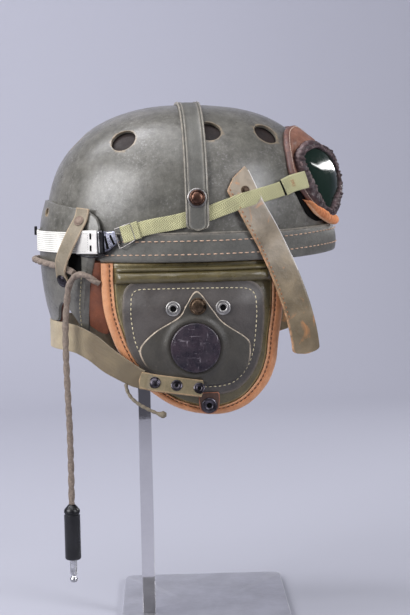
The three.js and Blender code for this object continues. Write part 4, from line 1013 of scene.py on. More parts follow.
def strap_paint(name):
    """The side strap's leather: grey brown on the crown, olive where it hangs, rubbed to orange in spots."""
    p = Paint(name, "olive_leather")
    broad = p.noise(38, 5, 0.65, warp=0.5)
    upper = p.ramp(broad, (0.36, (0.155, 0.12, 0.078)), (0.64, (0.30, 0.24, 0.165)))
    lower = p.ramp(broad, (0.36, (0.12, 0.09, 0.05)), (0.64, (0.23, 0.175, 0.105)))
    height = p.node("ShaderNodeMapRange", settings={"interpolation_type": "SMOOTHSTEP"},
                    Value=p.axes(p.place)[2], i1=STRAP_OLIVE_TOP, i2=STRAP_GREY_FOOT)
    base = p.mix(height, lower, upper)
    spots = p.ramp(p.noise(52, 4, 0.6, warp=0.8), (0.60, 0.0), (0.72, 0.75))
    base = p.mix(spots, base, (0.46, 0.20, 0.07))
    base = p.mix(p.rubbed(230, (0.36, 0.1), (0.62, 1.0)), base, (0.55, 0.30, 0.16))
    p.colour(base)
    p.rough(p.ramp(p.noise(95, 4, 0.6), (0.3, 0.3), (0.7, 0.5)))
    p.bump(p.cells(560), 0.2, 0.25)
    p.bump(p.noise(200, 5, 0.65), 0.45, 0.5)
    p.set(Coat_Weight=0.2, Coat_Roughness=0.3)
    return p.material


# The stretch over which the room turns from the table's paint, darkened as painted shade, to the wall's, in metres
# along Y
ROOM_NEAR = 0.3
ROOM_FAR = 2.0


def room_paint():
    """Pale paint, a little darker on the table than on the wall behind it: painted shade on the table."""
    p = Paint("room_paint", None)
    back = p.node("ShaderNodeMapRange", Value=p.axes(p.place)[1], i1=ROOM_NEAR, i2=ROOM_FAR)
    p.colour(p.mix(back, (0.42, 0.425, 0.485), (0.53, 0.535, 0.61)))
    p.rough(0.9)
    return p.material


FIBRE = fibre_paint("fibre_paint")
LINING = leather("lining_leather", "lining_leather", (0.085, 0.022, 0.010), (0.20, 0.058, 0.024),
                 (0.36, 0.13, 0.06), rough=(0.55, 0.8))
# The crown's lining, painted near black rather than in its brown leather: painted shade inside the crown, seen through
# the vents
CROWN_LINING_PAINTED_SHADE = leather("crown_lining_painted_shade", "lining_leather", (0.005, 0.003, 0.003), (0.018, 0.008, 0.006),
                       (0.07, 0.03, 0.02), rough=(0.6, 0.8))
GREY_LEATHER = leather("grey_leather", "grey_leather", (0.070, 0.068, 0.060), (0.125, 0.122, 0.108),
                       (0.30, 0.27, 0.22), rough=(0.36, 0.6), scuffs=0.25, grain=1.3)
POCKET_LEATHER = leather("pocket_leather", "grey_leather", (0.044, 0.038, 0.035), (0.078, 0.068, 0.063),
                         (0.20, 0.16, 0.12), rough=(0.38, 0.56), scuffs=0.2, edge=0.5)
# Its third colour is pale: painted highlight on the covers' upper edges, and scuffs
COVER_LEATHER = leather("cover_leather", "grey_leather", (0.034, 0.031, 0.026), (0.060, 0.054, 0.044),
                        (0.55, 0.45, 0.34), rough=(0.38, 0.55), scuffs=0.06)
OLIVE_LEATHER = leather("olive_leather", "olive_leather", (0.056, 0.045, 0.020), (0.130, 0.104, 0.043),
                        (0.26, 0.20, 0.09), rough=(0.22, 0.42), scuffs=0.25, coat=0.35, grain=0.7)
STRAP_LEATHER = strap_paint("strap_leather")
TAN_LEATHER = leather("tan_leather", "tan_leather", (0.36, 0.135, 0.055), (0.62, 0.27, 0.12),
                      (0.80, 0.46, 0.27), rough=(0.36, 0.6), scuffs=0.3)
KHAKI_LEATHER = leather("khaki_leather", "khaki_leather", (0.16, 0.13, 0.085), (0.26, 0.22, 0.16),
                        (0.48, 0.36, 0.24), rough=(0.6, 0.85), scuffs=0.4)
TAB_LEATHER = leather("tab_leather", "khaki_leather", (0.105, 0.085, 0.045), (0.19, 0.15, 0.085),
                      (0.42, 0.27, 0.15), rough=(0.4, 0.6))
# Its third colour is dark: painted shade on the cups' feet, and dark scuffs
GOGGLE_LEATHER = leather("goggle_leather", "goggle_leather", (0.105, 0.048, 0.038), (0.27, 0.125, 0.080),
                         (0.060, 0.030, 0.032), rough=(0.35, 0.62), patch=60, scuffs=0.6, grain=2.4)
RIM_LEATHER = leather("rim_leather", "goggle_leather", (0.010, 0.006, 0.008), (0.060, 0.032, 0.036),
                      (0.40, 0.28, 0.27), rough=(0.3, 0.6), patch=260, scuffs=0.8, edge=0.4, grain=3.6)
RED_LEATHER = leather("red_leather", "grey_leather", (0.035, 0.020, 0.015), (0.085, 0.045, 0.032),
                      (0.36, 0.12, 0.06), rough=(0.4, 0.6))
# Near-white leather for the painted highlight on the side straps' edges
EDGE_HIGHLIGHT = leather("edge_highlight", "olive_leather", (0.50, 0.46, 0.42), (0.80, 0.77, 0.74), (0.9, 0.88, 0.85),
                    scuffs=0.3)
# Its third colour is pale: painted highlight on the rolls' undersides, and pale scuffs
CHAMOIS = leather("chamois_leather", "chamois", (0.66, 0.22, 0.085), (0.90, 0.38, 0.17),
                  (0.95, 0.62, 0.40), rough=(0.8, 0.95), scuffs=0.5)
WEBBING = weave("webbing_weave", "goggle_webbing", (0.15, 0.145, 0.055), (0.70, 0.67, 0.38), across=1.7,
                ply=0.34)
NAPE_WEB = weave("nape_weave", "khaki_webbing", (0.20, 0.15, 0.08), (0.56, 0.46, 0.29), across=1.5,
                 stain=(0.24, 0.17, 0.10), stain_share=0.35, front_shade=(0.44, 0.41, 0.36))
ELASTIC = weave("elastic_weave", "white_elastic", (0.50, 0.49, 0.44), (0.98, 0.96, 0.90), across=1.9,
                ribs=True, ply=0.36)
ELASTIC_END = weave("elastic_box_weave", "white_elastic", (0.66, 0.64, 0.60), (0.98, 0.96, 0.92), across=1.2,
                    ribs=True, ply=0.12)
CREAM_THREAD = thread("cream_thread", "grey_leather", (0.66, 0.58, 0.38))
ORANGE_THREAD = thread("orange_thread", "grey_leather", (0.62, 0.42, 0.30))
PALE_THREAD = thread("pale_thread", "goggle_leather", (0.62, 0.50, 0.42))
GREY_THREAD = thread("grey_thread", "white_elastic", (0.30, 0.29, 0.28))
RUST_THREAD = thread("rust_thread", "olive_leather", (0.40, 0.17, 0.07))
DARK_THREAD = thread("dark_thread", "tan_leather", (0.10, 0.05, 0.03))
COPPER = metal("copper_brass", "dark_brass", (0.05, 0.028, 0.022), (0.16, 0.085, 0.06), rough=(0.25, 0.5))
BRONZE = metal("bronze_brass", "dark_brass", (0.05, 0.035, 0.025), (0.15, 0.105, 0.075), rough=(0.35, 0.6))
DARK_STEEL = metal("dark_steel", "dark_brass", (0.025, 0.022, 0.026), (0.11, 0.10, 0.12), rough=(0.25, 0.5))
SILVER = metal("silver_steel", "worn_steel", (0.33, 0.33, 0.34), (0.66, 0.66, 0.68), rough=(0.18, 0.4))
BLUE_STEEL = metal("blue_steel", "worn_steel", (0.10, 0.10, 0.13), (0.42, 0.43, 0.52), rough=(0.2, 0.4),
                   patch=160)
BLACK_STEEL = metal("black_steel", "worn_steel", (0.012, 0.012, 0.014), (0.05, 0.05, 0.055),
                    rough=(0.25, 0.45))
COVER_BRASS = metal("cover_brass", "dark_brass", (0.022, 0.017, 0.013), (0.17, 0.115, 0.075),
                    rough=(0.3, 0.55))
MATTE_BROWN = metal("matte_brown", "dark_brass", (0.16, 0.11, 0.085), (0.24, 0.18, 0.14), rough=(0.6, 0.8),
                    metallic=0.2)
EYELET_STEEL = metal("eyelet_steel", "worn_steel", (0.26, 0.25, 0.24), (0.58, 0.56, 0.54), rough=(0.3, 0.45),
                     metallic=0.85)
DULL_STEEL = metal("dull_steel", "worn_steel", (0.17, 0.16, 0.15), (0.34, 0.32, 0.31), rough=(0.3, 0.5))
PLATE_STEEL = metal("plate_steel", "stand_steel", (0.60, 0.60, 0.62), (0.72, 0.72, 0.75), rough=(0.42, 0.5),
                    patch=20)
MIRROR_STEEL = metal("mirror_steel", "stand_steel", (0.62, 0.61, 0.63), (0.68, 0.67, 0.69),
                     rough=(0.02, 0.05), patch=20)
PLUG_PLASTIC = metal("plug_plastic", "black_plastic", (0.003, 0.003, 0.004), (0.008, 0.008, 0.010),
                     rough=(0.25, 0.4), metallic=0.0, patch=70)
DISC_PLASTIC = scratched("disc_plastic", "black_plastic", (0.014, 0.012, 0.019), (0.050, 0.036, 0.046),
                         (0.34, 0.30, 0.33))
GLASS = plain("green_glass", "green_glass", (0.008, 0.020, 0.014), 0.08)
# Black that stands for shade: painted shade in holes, slots and gaps, and the painted shadows laid on the guard and
# the crown
SHADE_BLACK = plain("shade_black", "black_plastic", (0.003, 0.003, 0.003), 0.9, shine=0.1)
CORD = thread("cord_textile", "textile_cord", (0.235, 0.185, 0.150))
ROOM = room_paint()

# Crown

# Bearing and rise of the vents on one side
VENTS = ((0, VENT_RISE), (39, VENT_RISE), (79, VENT_RISE * 1.04), (135, VENT_RISE * 0.96),
         (180, VENT_RISE * 0.96))

# How deep the cuts go, and how far round them the edge is rubbed
VENT_CUT = 12
GUARD_CUT = 8
RUBBED_RING = 0.6


def crown_rings(outside, inside, around, steps, ripple):
    """The rings of a shell between two offsets from the crown, from its top to the skirt's edge and back."""
    rises = [math.cos(max(i, 0.25) / steps * math.pi / 2) ** (2 / SQUARENESS) for i in range(steps)]
    rises += [0.0] + [-share * SKIRT_DROP / CROWN_HEIGHT for share in (0.35, 0.7, 1)]

    def layer(offset, rise):
        full = (CROWN_HEIGHT + offset) / CROWN_HEIGHT if rise > 0 else 1
        places = [on_crown(360 * j / around, rise * full, offset) for j in range(around)]
        return [p + crown_normal(p) * ripple(p) for p in places]

    return [layer(outside, rise) for rise in rises] + [layer(inside, rise) for rise in reversed(rises)]


def vent_places():
    places = []
    for bearing, rise in VENTS:
        for side in ((LEFT,) if bearing % 180 == 0 else (LEFT, RIGHT)):
            middle = on_crown(bearing, rise, 0, side)
            places.append((middle, crown_normal(middle)))
    return places


def cut_round_holes(piece, holes, depth):
    """Cuts round holes through a piece. Each hole is a place, an axis and a radius."""
    cutters = []
    for middle, axis, radius in holes:
        cutter = lathe("cutter", [(radius, -depth), (radius, depth)], middle, axis, FIBRE, sides=56)
        modifier = piece.modifiers.new("hole", "BOOLEAN")
        modifier.object = cutter
        cutters.append(cutter)
    whole = piece.evaluated_get(bpy.context.evaluated_depsgraph_get())
    mesh = bpy.data.meshes.new_from_object(whole)
    piece.modifiers.clear()
    piece.data = mesh
    for cutter in cutters:
        bpy.data.objects.remove(cutter)
    if "wear" in mesh.attributes:
        mesh.attributes.remove(mesh.attributes["wear"])
    worn = mesh.attributes.new("wear", "FLOAT", "POINT")
    for vertex in mesh.vertices:
        place = vertex.co / MM
        for middle, axis, radius in holes:
            away = place - middle
            off = away.dot(axis)
            if abs(off) < CROWN_WALL and (away - axis * off).length < radius + RUBBED_RING:
                worn.data[vertex.index].value = 1.0
    mesh.set_sharp_from_angle(angle=SHARP_ANGLE)


def add_crown():
    def dents(p):
        return 0.5 * noise(p * 0.018) + 0.18 * noise(p * 0.06 + Vector((7, 3, 1)))

    shell = skin("crown", crown_rings(0, -CROWN_WALL, 180, 52, dents), FIBRE, replaces=["crown_shell"])
    cut_round_holes(shell, [(middle, out, VENT_RADIUS) for middle, out in vent_places()], VENT_CUT)

    def puckers(p):
        return 0.45 * fractal(p * 0.05, 1.0, 2.0, 3)

    # The lining takes the near-black painted shade
    outside = -CROWN_WALL - GAP - 0.6
    skin("lining", crown_rings(outside, outside - LINING_WALL, 96, 26, puckers), CROWN_LINING_PAINTED_SHADE,
         replaces=["crown_lining"])


# Brim band

BAND_END = 137
# Share of the band's height, share of its thickness, and wear, from its foot to its top
BAND_SECTION = (
    (0.0, 0.25, 0.3), (0.02, 0.7, 0.4), (0.06, 0.95, 0.1), (0.15, 1.0, 0.0), (0.25, 1.0, 0.0),
    (0.38, 1.0, 0.0), (0.5, 0.98, 0.0), (0.62, 0.94, 0.0), (0.74, 0.86, 0.0), (0.84, 0.74, 0.0),
    (0.9, 0.66, 0.2), (0.93, 0.6, 0.8), (0.955, 0.85, 1.0), (0.98, 0.9, 1.0), (1.0, 0.55, 1.0),
)
# Each row of stitches and its height at the brow and at the sides
BAND_STITCHES = (("upper", 0.8, 0.71), ("lower", 0.32, 0.26))


def band_at(bearing, up, out, stand=0.0):
    """A place on the band, by its share of the band's height and of its thickness."""
    away = abs(bearing)
    brow = 1 - smoothstep(away, 2, 50)
    lap = mix(2, -0.8, 1 - smoothstep(away, 6, 50))
    rise = (BAND_TOP - BAND_HEIGHT + up * BAND_HEIGHT - lap) / CROWN_HEIGHT
    belly = BAND_WALL + brow * (BROW_ROLL - BAND_WALL) * math.sin(math.pi * clamp(up * 0.9 + 0.12)) ** 0.7
    side = RIGHT if bearing < 0 else LEFT
    return on_crown(away, rise, BAND_SEAT + belly * out + stand, side)


def add_band():
    rings, wear = [], []
    for bearing in span(-BAND_END, BAND_END, 200):
        outer = []
        for up, out, _ in BAND_SECTION:
            p = band_at(bearing, up, out)
            push = 0.45 * noise(p * 0.07) + 0.25 * noise(Vector((p.x, p.y, p.z * 0.3)) * 0.22)
            if out > 0.9:
                p = p + crown_normal(p) * push
            outer.append(p)
        inner = [band_at(bearing, up, 0.0) for up, _, _ in reversed(BAND_SECTION)]
        rings.append(outer + inner)
        wear += [w for _, _, w in BAND_SECTION] + [0.0] * len(BAND_SECTION)
    skin("band", rings, GREY_LEATHER, wear + [0.0, 0.0], replaces=["brim_band"])
    for name, brow_up, side_up in BAND_STITCHES:
        for word, side in SIDES:
            path = [band_at(side * bearing, mix(brow_up, side_up, smoothstep(bearing, 20, 80)), 1.0, 0.15)
                    for bearing in span(2, BAND_END - 2, 120)]
            stitches(f"band_stitches_{name}_{word}", places_on(path, crown_normal), ORANGE_THREAD)


def places_on(path, out_at, pitch=STITCH_PITCH):
    """Places for stitches along a path: (point, along, out)."""
    spaced = even(path, max(2, round(path_length(path) / pitch)))
    return [((a + b) / 2, (b - a).normalized(), out_at((a + b) / 2)) for a, b in zip(spaced, spaced[1:])]


# Neck guard

# How far the guard stands off the crown, and how far its front edge leans, at each share of the way down
GUARD_LEVELS = ((0, 0.42), (0.12, 0.73), (0.25, 0.97), (0.4, 1), (0.58, 0.78), (0.76, 0.36), (0.9, -0.2),
                (1, -0.6))
GUARD_LEAN = ((0, -6), (0.2, -5.6), (0.39, -0.6), (0.6, 2.2), (0.8, 5), (1, 6.5))
GUARD_FRONT = 141.5
# Bearing, top, bottom and lean of the guard's edge
GUARD_EDGE = ((GUARD_FRONT, 0.2, 1, 1), (143.4, 0.115, 0.985, 0.85), (147, 0.065, 0.92, 0.5),
              (152, 0.045, 0.82, 0.15), (157.5, 0.03, 0.73, 0), (161, 0.025, 0.76, 0), (165, 0.015, 0.86, 0),
              (172, 0, 0.88, 0), (180, 0, 0.88, 0))


# The same for the guard's lining, with its tuck under the guard's front edge in the place of the lean
LINING_EDGE = ((135, 0, 0.62, 0.85), (137, 0, 0.84, 0.55), (139.5, 0, 0.95, 0.15), (146, 0, 0.9, 0),
               (152, 0, 0.8, 0), (157.5, 0, 0.7, 0), (162, 0, 0.76, 0), (168, 0, 0.88, 0), (180, 0, 0.9, 0))


# Bearing, share of the way down, and radius of the guard's lacing holes
GUARD_HOLE = (169, 0.08, 4)
GUARD_RINGS = 30


def round_the_back(rows):
    """The rows of the right side from the front, each with its side, and those of the left side back."""
    return [(row, RIGHT) for row in rows] + [(row, LEFT) for row in reversed(rows[:-1])]


def on_guard(bearing, down, offset, side):
    rise = (GUARD_TOP - down * GUARD_DEPTH) / CROWN_HEIGHT
    return on_crown(bearing, rise, GUARD_STAND * level_at(GUARD_LEVELS, down) + offset, side)


def guard_rings(rows, outside, inside, upper, levels, ripple, lean=True):
    rings = []
    for (edge, top, bottom, last), side in round_the_back(rows):
        outer, inner = [], []
        for k in range(levels + 1):
            share = 0.5 - 0.5 * math.cos(math.pi * k / levels)
            down = mix(max(top, upper), bottom, share)
            bearing = edge + last * level_at(GUARD_LEAN, down) if lean else edge
            tuck = 0 if lean else last * GUARD_STAND
            place = on_guard(bearing, down, outside - tuck, side)
            round_off = 0.5 if k in (0, levels) else 0.0
            outer.append(on_guard(bearing, down, outside - tuck - round_off + ripple(place), side))
            inner.append(on_guard(bearing, down, inside - tuck + ripple(place), side))
        rings.append(outer + inner[::-1])
    return rings


def add_neck_guard():
    def dents(p):
        return 0.4 * noise(p * 0.03)

    def folds(p):
        return 0.9 * noise(p * 0.05) + 0.5 * noise(p * 0.13)

    rings = guard_rings(smooth_rows(GUARD_EDGE, 40), 0, -GUARD_WALL, 0, GUARD_RINGS, dents)
    edge = [1.0] + [0.0] * (GUARD_RINGS - 1) + [1.0]
    wear = bare_ends([w for _ in rings for w in edge * 2], len(edge) * 2)
    guard = skin("guard", rings, FIBRE, wear, replaces=["neck_guard"])
    holes = []
    bearing, down, radius = GUARD_HOLE
    for _, side in SIDES:
        middle = on_guard(bearing, down, 0, side)
        holes.append((middle, crown_normal(middle), radius))
    cut_round_holes(guard, holes, GUARD_CUT)

    outside = -GUARD_WALL - 1.5
    rim_down = (GUARD_TOP + SKIRT_DROP + 2) / GUARD_DEPTH
    rings = guard_rings(smooth_rows(LINING_EDGE, 44), outside, outside - 1.8, rim_down, 22, folds, lean=False)
    skin("guard_lining_leather", rings, LINING, replaces=["guard_lining"])

    for word, side in SIDES:
        path = [on_guard(GUARD_FRONT + 2 + level_at(GUARD_LEAN, down), down, 0.2, side)
                for down in span(0.5, 0.96, 39)]
        stitches(f"guard_stitches_{word}", places_on(path, crown_normal, 4.2), CREAM_THREAD, length=3,
                 width=0.9)
        add_guard_painted_shadow(word, side)


# The painted shadow in the guard's recess behind its front seam, a black sheet where that recess lies in deep shade:
# rise on the crown, and its rear and front bearings
GUARD_PAINTED_SHADOW = ((0.04, 148.2, 144.6), (-0.03, 149.2, 144.6), (-0.12, 150.2, 144.4), (-0.2, 151.2, 144.4),
                (-0.25, 150.8, 144.6), (-0.275, 148.5, 145.2))


def add_guard_painted_shadow(word, side):
    rows = []
    for rise, rear, front in smooth_rows(GUARD_PAINTED_SHADOW, 20):
        down = (GUARD_TOP - rise * CROWN_HEIGHT) / GUARD_DEPTH
        rows.append([on_guard(bearing, down, 0.45, side) for bearing in span(rear, front, 8)])
    shade_sheet(f"guard_painted_shadow_{word}", rows, lambda p: p - crown_normal(p) * 0.6)


# Straps on the crown


def ends_rounded(length, total, radius, start=True, end=True):
    """The share of a strap's width at a length along it, with rounded ends."""
    share = 1.0
    for rounded, away in ((start, length), (end, total - length)):
        if rounded and away < radius:
            share = min(share, math.sqrt(clamp(1 - (1 - away / radius) ** 2, 0.02)))
    return share


# Half of the crown strap's section, with its piping and seam: in from the edge, out, and wear
CROWN_STRAP_EDGE = (
    (0, 1.2, 1.0), (0.3, 2.5, 1.0), (1.1, 3.0, 0.9), (1.9, 2.5, 0.3), (2.4, 1.7, 0.0), (3.1, 2.4, 0.5),
    (3.9, 2.6, 0.6), (4.6, 2.2, 0.1), (5.4, 1.9, 0.0), (8, 2.0, 0.0),
)
CROWN_STRAP_FOOT = 0.04
CROWN_SNAP_RISE = 0.288
CROWN_SNAP_COLLAR = ((0, 0), (9.2, 0), (9.2, 0.4), (8.6, 0.9), (7.6, 0.9))


def add_crown_strap():
    middles, stands = [], []
    for angle in span(0.0, math.pi, 160):
        flank = math.cos(angle)
        rise = math.sin(angle) ** (2 / SQUARENESS)
        across = abs(flank) ** (2 / SQUARENESS) * (1 if flank > 0 else -1)
        place = Vector((0, RIGHT * across * HALF_WIDTH, BROW + rise * CROWN_HEIGHT))
        if place.z < BROW + CROWN_STRAP_FOOT * CROWN_HEIGHT:
            continue
        lift = 1 - smoothstep(place.z - BROW, 0.2 * CROWN_HEIGHT, 0.36 * CROWN_HEIGHT)
        stand = mix(0.6, CROWN_STRAP_WALL + GAP, lift)
        middles.append(settle(place, stand))
        stands.append(stand)
    ribbon = Ribbon(middles, [crown_normal(p) for p in middles], stands)
    outside = [(inward - CROWN_STRAP_WIDTH / 2, o, w) for inward, o, w in CROWN_STRAP_EDGE]
    outside += [(-a, o, w) for a, o, w in reversed(outside)]
    section = outside + [(a, 0.0, 0.0) for a, _, _ in reversed(outside)]
    ribbon.strap("strap_over_crown", section, GREY_LEATHER, steps=150, replaces=["crown_strap"],
                 broad=lambda at: ends_rounded(at, ribbon.length, 5))
    for word, side in SIDES:
        foot = on_crown(90, CROWN_SNAP_RISE, 2 * CROWN_STRAP_WALL + 0.1, side)
        out = crown_normal(foot)
        lathe(f"crown_snap_collar_{word}", CROWN_SNAP_COLLAR, foot, out, DULL_STEEL)
        snap(f"crown_snap_{word}", foot + out * 0.5, out, SNAP_RADIUS, COPPER, height=3.4,
             replaces=[f"crown_strap_snap_{word}"])


# Bearing, rise, share of the width, and stand of a side strap on the crown
SIDE_STRAP = ((69.8, 0.44, 1.26, 0), (68.8, 0.42, 1.26, 0), (67.2, 0.36, 1.24, 0), (64.4, 0.25, 1.18, 0.3),
              (62, 0.16, 1.16, 0.75), (59.8, 0.085, 1.18, 1.05), (57.3, 0.01, 1.18, 1.15))


# How far the strap's pointed upper end reaches down its rear edge
SIDE_STRAP_POINT = 10
# The stretch that hangs free: forward, out and down
SIDE_STRAP_FREE = ((0.12, -0.008, 0.12), (0.31, 0.0, 0.34), (0.49, 0.012, 0.6), (0.61, 0.016, 0.84),
                   (0.66, 0.012, 1.03))


# The free end turns to face a little forward within this many of its steps
SIDE_STRAP_TURN = 16
# The stitches' and the painted highlight's distance from the strap's edges, and the rivet's from its upper end
SIDE_STRAP_SEAM = 2.8
SIDE_STRAP_HIGHLIGHT = 0.45
SIDE_STRAP_RIVET = 16.5


def add_side_strap(word, side):
    lay = GAP + 0.8
    rows = smooth_rows([(b, r, w, lay + s * (BAND_WALL + GAP)) for b, r, w, s in SIDE_STRAP], 40)
    middles = [on_crown(b, r, s, side) for b, r, _, s in rows]
    start = middles[-1]
    free = [start] + [
        Vector((start.x + forward * SIDE_STRAP_HANG / 2, start.y + side * out * HALF_WIDTH * 2,
                start.z - down * SIDE_STRAP_HANG))
        for forward, out, down in SIDE_STRAP_FREE
    ]
    free = smooth_path(free, 30)[1:]
    path = middles + free
    outs = [crown_normal(p) for p in middles]
    last = outs[-1]
    turned = Vector((0.18, side, 0.05)).normalized()
    for i in range(len(free)):
        outs.append(last.lerp(turned, smoothstep(i, -1, SIDE_STRAP_TURN)).normalized())
    ribbon = Ribbon(path, outs)
    widths = [row[2] for row in rows] + [rows[-1][2]] * len(free)
    half = SIDE_STRAP_WIDTH / 2

    def broad(at):
        tip = mix(0.6, 1.0, clamp(at / SIDE_STRAP_POINT))
        return ribbon.blend(widths, at) * tip * ends_rounded(at, ribbon.length, 5, start=False)

    def shift(at):
        return -side * half * 0.5 * (1 - clamp(at / SIDE_STRAP_POINT))

    def edge_at(at, draw):
        return half * broad(at) - draw

    section = [(a, o, w if a * side > 0 else 0.0)
               for a, o, w in slab(SIDE_STRAP_WIDTH, SIDE_STRAP_WALL, across=10, bevel=0.7)]
    ribbon.strap(f"strap_{word}", section, STRAP_LEATHER, steps=130, broad=broad, shift=shift,
                 replaces=[f"side_strap_{word}"])
    places = ribbon.walk(lambda at: side * edge_at(at, SIDE_STRAP_SEAM) + shift(at),
                         SIDE_STRAP_WALL + 0.05, 8, ribbon.length * 0.8, 4.6)
    stitches(f"strap_stitches_{word}", places, RUST_THREAD, length=2.6, width=0.9)
    # A pale line along the strap's other edge from its stitches: painted highlight on that cut edge
    line = [ribbon.at(at, -side * edge_at(at, SIDE_STRAP_HIGHLIGHT) + shift(at), SIDE_STRAP_WALL - 0.25)
            for at in span(2.5, ribbon.length * 0.58, 80)]
    tube(f"strap_edge_highlight_{word}", line, 0.42, EDGE_HIGHLIGHT, sides=8)
    foot = ribbon.at(SIDE_STRAP_RIVET, 2 * -side, SIDE_STRAP_WALL)
    snap(f"strap_rivet_{word}", foot, crown_normal(foot), 4.2, BRONZE, height=1.2)


# Ear flaps

# Outlines on the flap, as shares of its width across from its middle and of its drop up from its foot
FLAP_OUTLINE = (
    (-0.5, 0.998), (-0.5, 0.84), (-0.489, 0.68), (-0.454, 0.53), (-0.414, 0.415), (-0.33, 0.25),
    (-0.22, 0.135), (-0.11, 0.055), (0.02, 0.01), (0.16, 0.005), (0.29, 0.06), (0.395, 0.18), (0.447, 0.32),
    (0.466, 0.48), (0.49, 0.66), (0.498, 0.84), (0.498, 0.998),
)
POCKET_OUTLINE = (
    (-0.39, 0.755), (-0.38, 0.82), (-0.355, 0.86), (-0.315, 0.881), (-0.25, 0.886), (0, 0.886), (0.25, 0.88),
    (0.315, 0.866), (0.353, 0.838), (0.375, 0.795), (0.382, 0.73), (0.382, 0.62), (0.358, 0.4),
    (0.3, 0.25), (0.2, 0.155), (0.04, 0.14), (-0.13, 0.18), (-0.27, 0.29), (-0.358, 0.43), (-0.39, 0.62),
)
COVER_OUTLINE = (
    (0.012, 0.815), (-0.05, 0.73), (-0.09, 0.655), (-0.22, 0.56), (-0.3, 0.46), (-0.295, 0.38), (-0.24, 0.3),
    (-0.1, 0.23), (0.08, 0.205), (0.22, 0.24), (0.285, 0.33), (0.3, 0.43), (0.28, 0.5), (0.15, 0.61),
    (0.09, 0.7),
)
TAB_OUTLINE = (
    (0.01, 0.15), (0.011, 0.08), (0.022, 0.035), (0.065, 0.016), (0.108, 0.035), (0.12, 0.08), (0.12, 0.15),
    (0.09, 0.156), (0.04, 0.156),
)
flap_run = smooth_path([Vector((across * FLAP_WIDTH, up * FLAP_DROP, 0)) for across, up in FLAP_OUTLINE], 150)
flap_edge = flap_run + [flap_run[-1].lerp(flap_run[0], k / 30) for k in range(1, 30)]


def drawn_in(shape, distance):
    """The flap's outline drawn in, more at its sides than at its foot."""
    aside, up = distance * BINDING_SIDES, distance * BINDING_FOOT
    return [Vector((p.x * (1 - 2 * aside / FLAP_WIDTH), up + p.y * (1 - up / FLAP_DROP), 0)) for p in shape]


flap_body = drawn_in(flap_edge, BINDING_WIDTH + GAP)
flap_middle = centre(flap_body)


class Round:
    """How far a shape reaches from its middle in each direction."""

    def __init__(self, shape, middle, bins=720):
        self.middle, self.bins = middle, bins
        fine = [a.lerp(b, t / 8) for a, b in zip(shape, shape[1:] + shape[:1]) for t in range(8)]
        table = sorted((math.atan2(p.y - middle.y, p.x - middle.x), (p - middle).length) for p in fine)
        angles = [angle for angle, _ in table]
        self.reaches = [
            table[min(bisect_left(angles, -math.pi + math.tau * i / bins), len(table) - 1)][1]
            for i in range(bins)
        ]

    def share(self, x, y):
        angle = math.atan2(y - self.middle.y, x - self.middle.x)
        at = (angle + math.pi) / math.tau * self.bins
        i = int(at) % self.bins
        reach = mix(self.reaches[i], self.reaches[(i + 1) % self.bins], at - int(at))
        return math.hypot(x - self.middle.x, y - self.middle.y) / reach


flap_round = Round(flap_body, flap_middle)
DISC_X = -0.006 * FLAP_WIDTH
DISC_Y = 0.453 * FLAP_DROP
# How far below the flap's top its belly starts and is full
HINGE_START = 19.2
HINGE_END = 43.2


def flap_place(side):
    def place(x, y, depth):
        bend = FLAP_SAG * (2 * x / FLAP_WIDTH) ** 2
        return Vector((FLAP_CENTRE + x, side * (HALF_WIDTH - FLAP_TUCK - bend + depth),
                       FLAP_TOP - FLAP_DROP + y))
    return place


def flap_front(x, y):
    share = flap_round.share(x, y)
    belly = (FLAP_BELLY - FLAP_EDGE) * max(0, 1 - share ** 3)
    hinge = smoothstep(FLAP_DROP - y, HINGE_START, HINGE_END)
    return FLAP_EDGE + belly * hinge


def pad(name, shape, middle, rounds, front, back, place, paint, replaces=(), back_rounds=4, start=0.06,
        curl=0.7, worn=lambda y: 1.0):
    """A flat or padded piece within an outline. It thins to its back over the curl, at its edge."""
    shares = [mix(start, 1, i / rounds) for i in range(rounds)]
    tight = min((p - middle).length for p in shape)
    shares += [1 - curl / tight * k for k in (0.8, 0.4, 0.12)] + [1]
    drops = [0.0] * rounds + [0.04, 0.2, 0.5, 1.0]
    rings, wear = [], []
    for share, drop in zip(shares, drops):
        ring = []
        for p in shape:
            x, y = mix(middle.x, p.x, share), mix(middle.y, p.y, share)
            ring.append(place(x, y, front(x, y) - drop * min(curl, front(x, y) - back(x, y)) * 0.7))
        rings.append(ring)
        wear += [worn(p.y) if drop > 0.03 else 0.0 for p in shape]
    for k in range(back_rounds, 0, -1):
        share = k / back_rounds if k > 1 else start
        share = min(share, 1 - 0.3 / tight)
        rings.append([
            place(mix(middle.x, p.x, share), mix(middle.y, p.y, share),
                  back(mix(middle.x, p.x, share), mix(middle.y, p.y, share)))
            for p in shape
        ])
        wear += [0.0] * len(shape)
    return skin(name, rings, paint, wear + [0.0, 0.0], replaces=replaces)


# The folded roll at the flap's top: its top and foot, and the middle, half height and depth of each lobe
ROLL_TOP = 142.5
ROLL_FOOT = 126
ROLL_LOBES = ((139.5, 2.3, 4.2), (131.8, 5.6, 5.6))


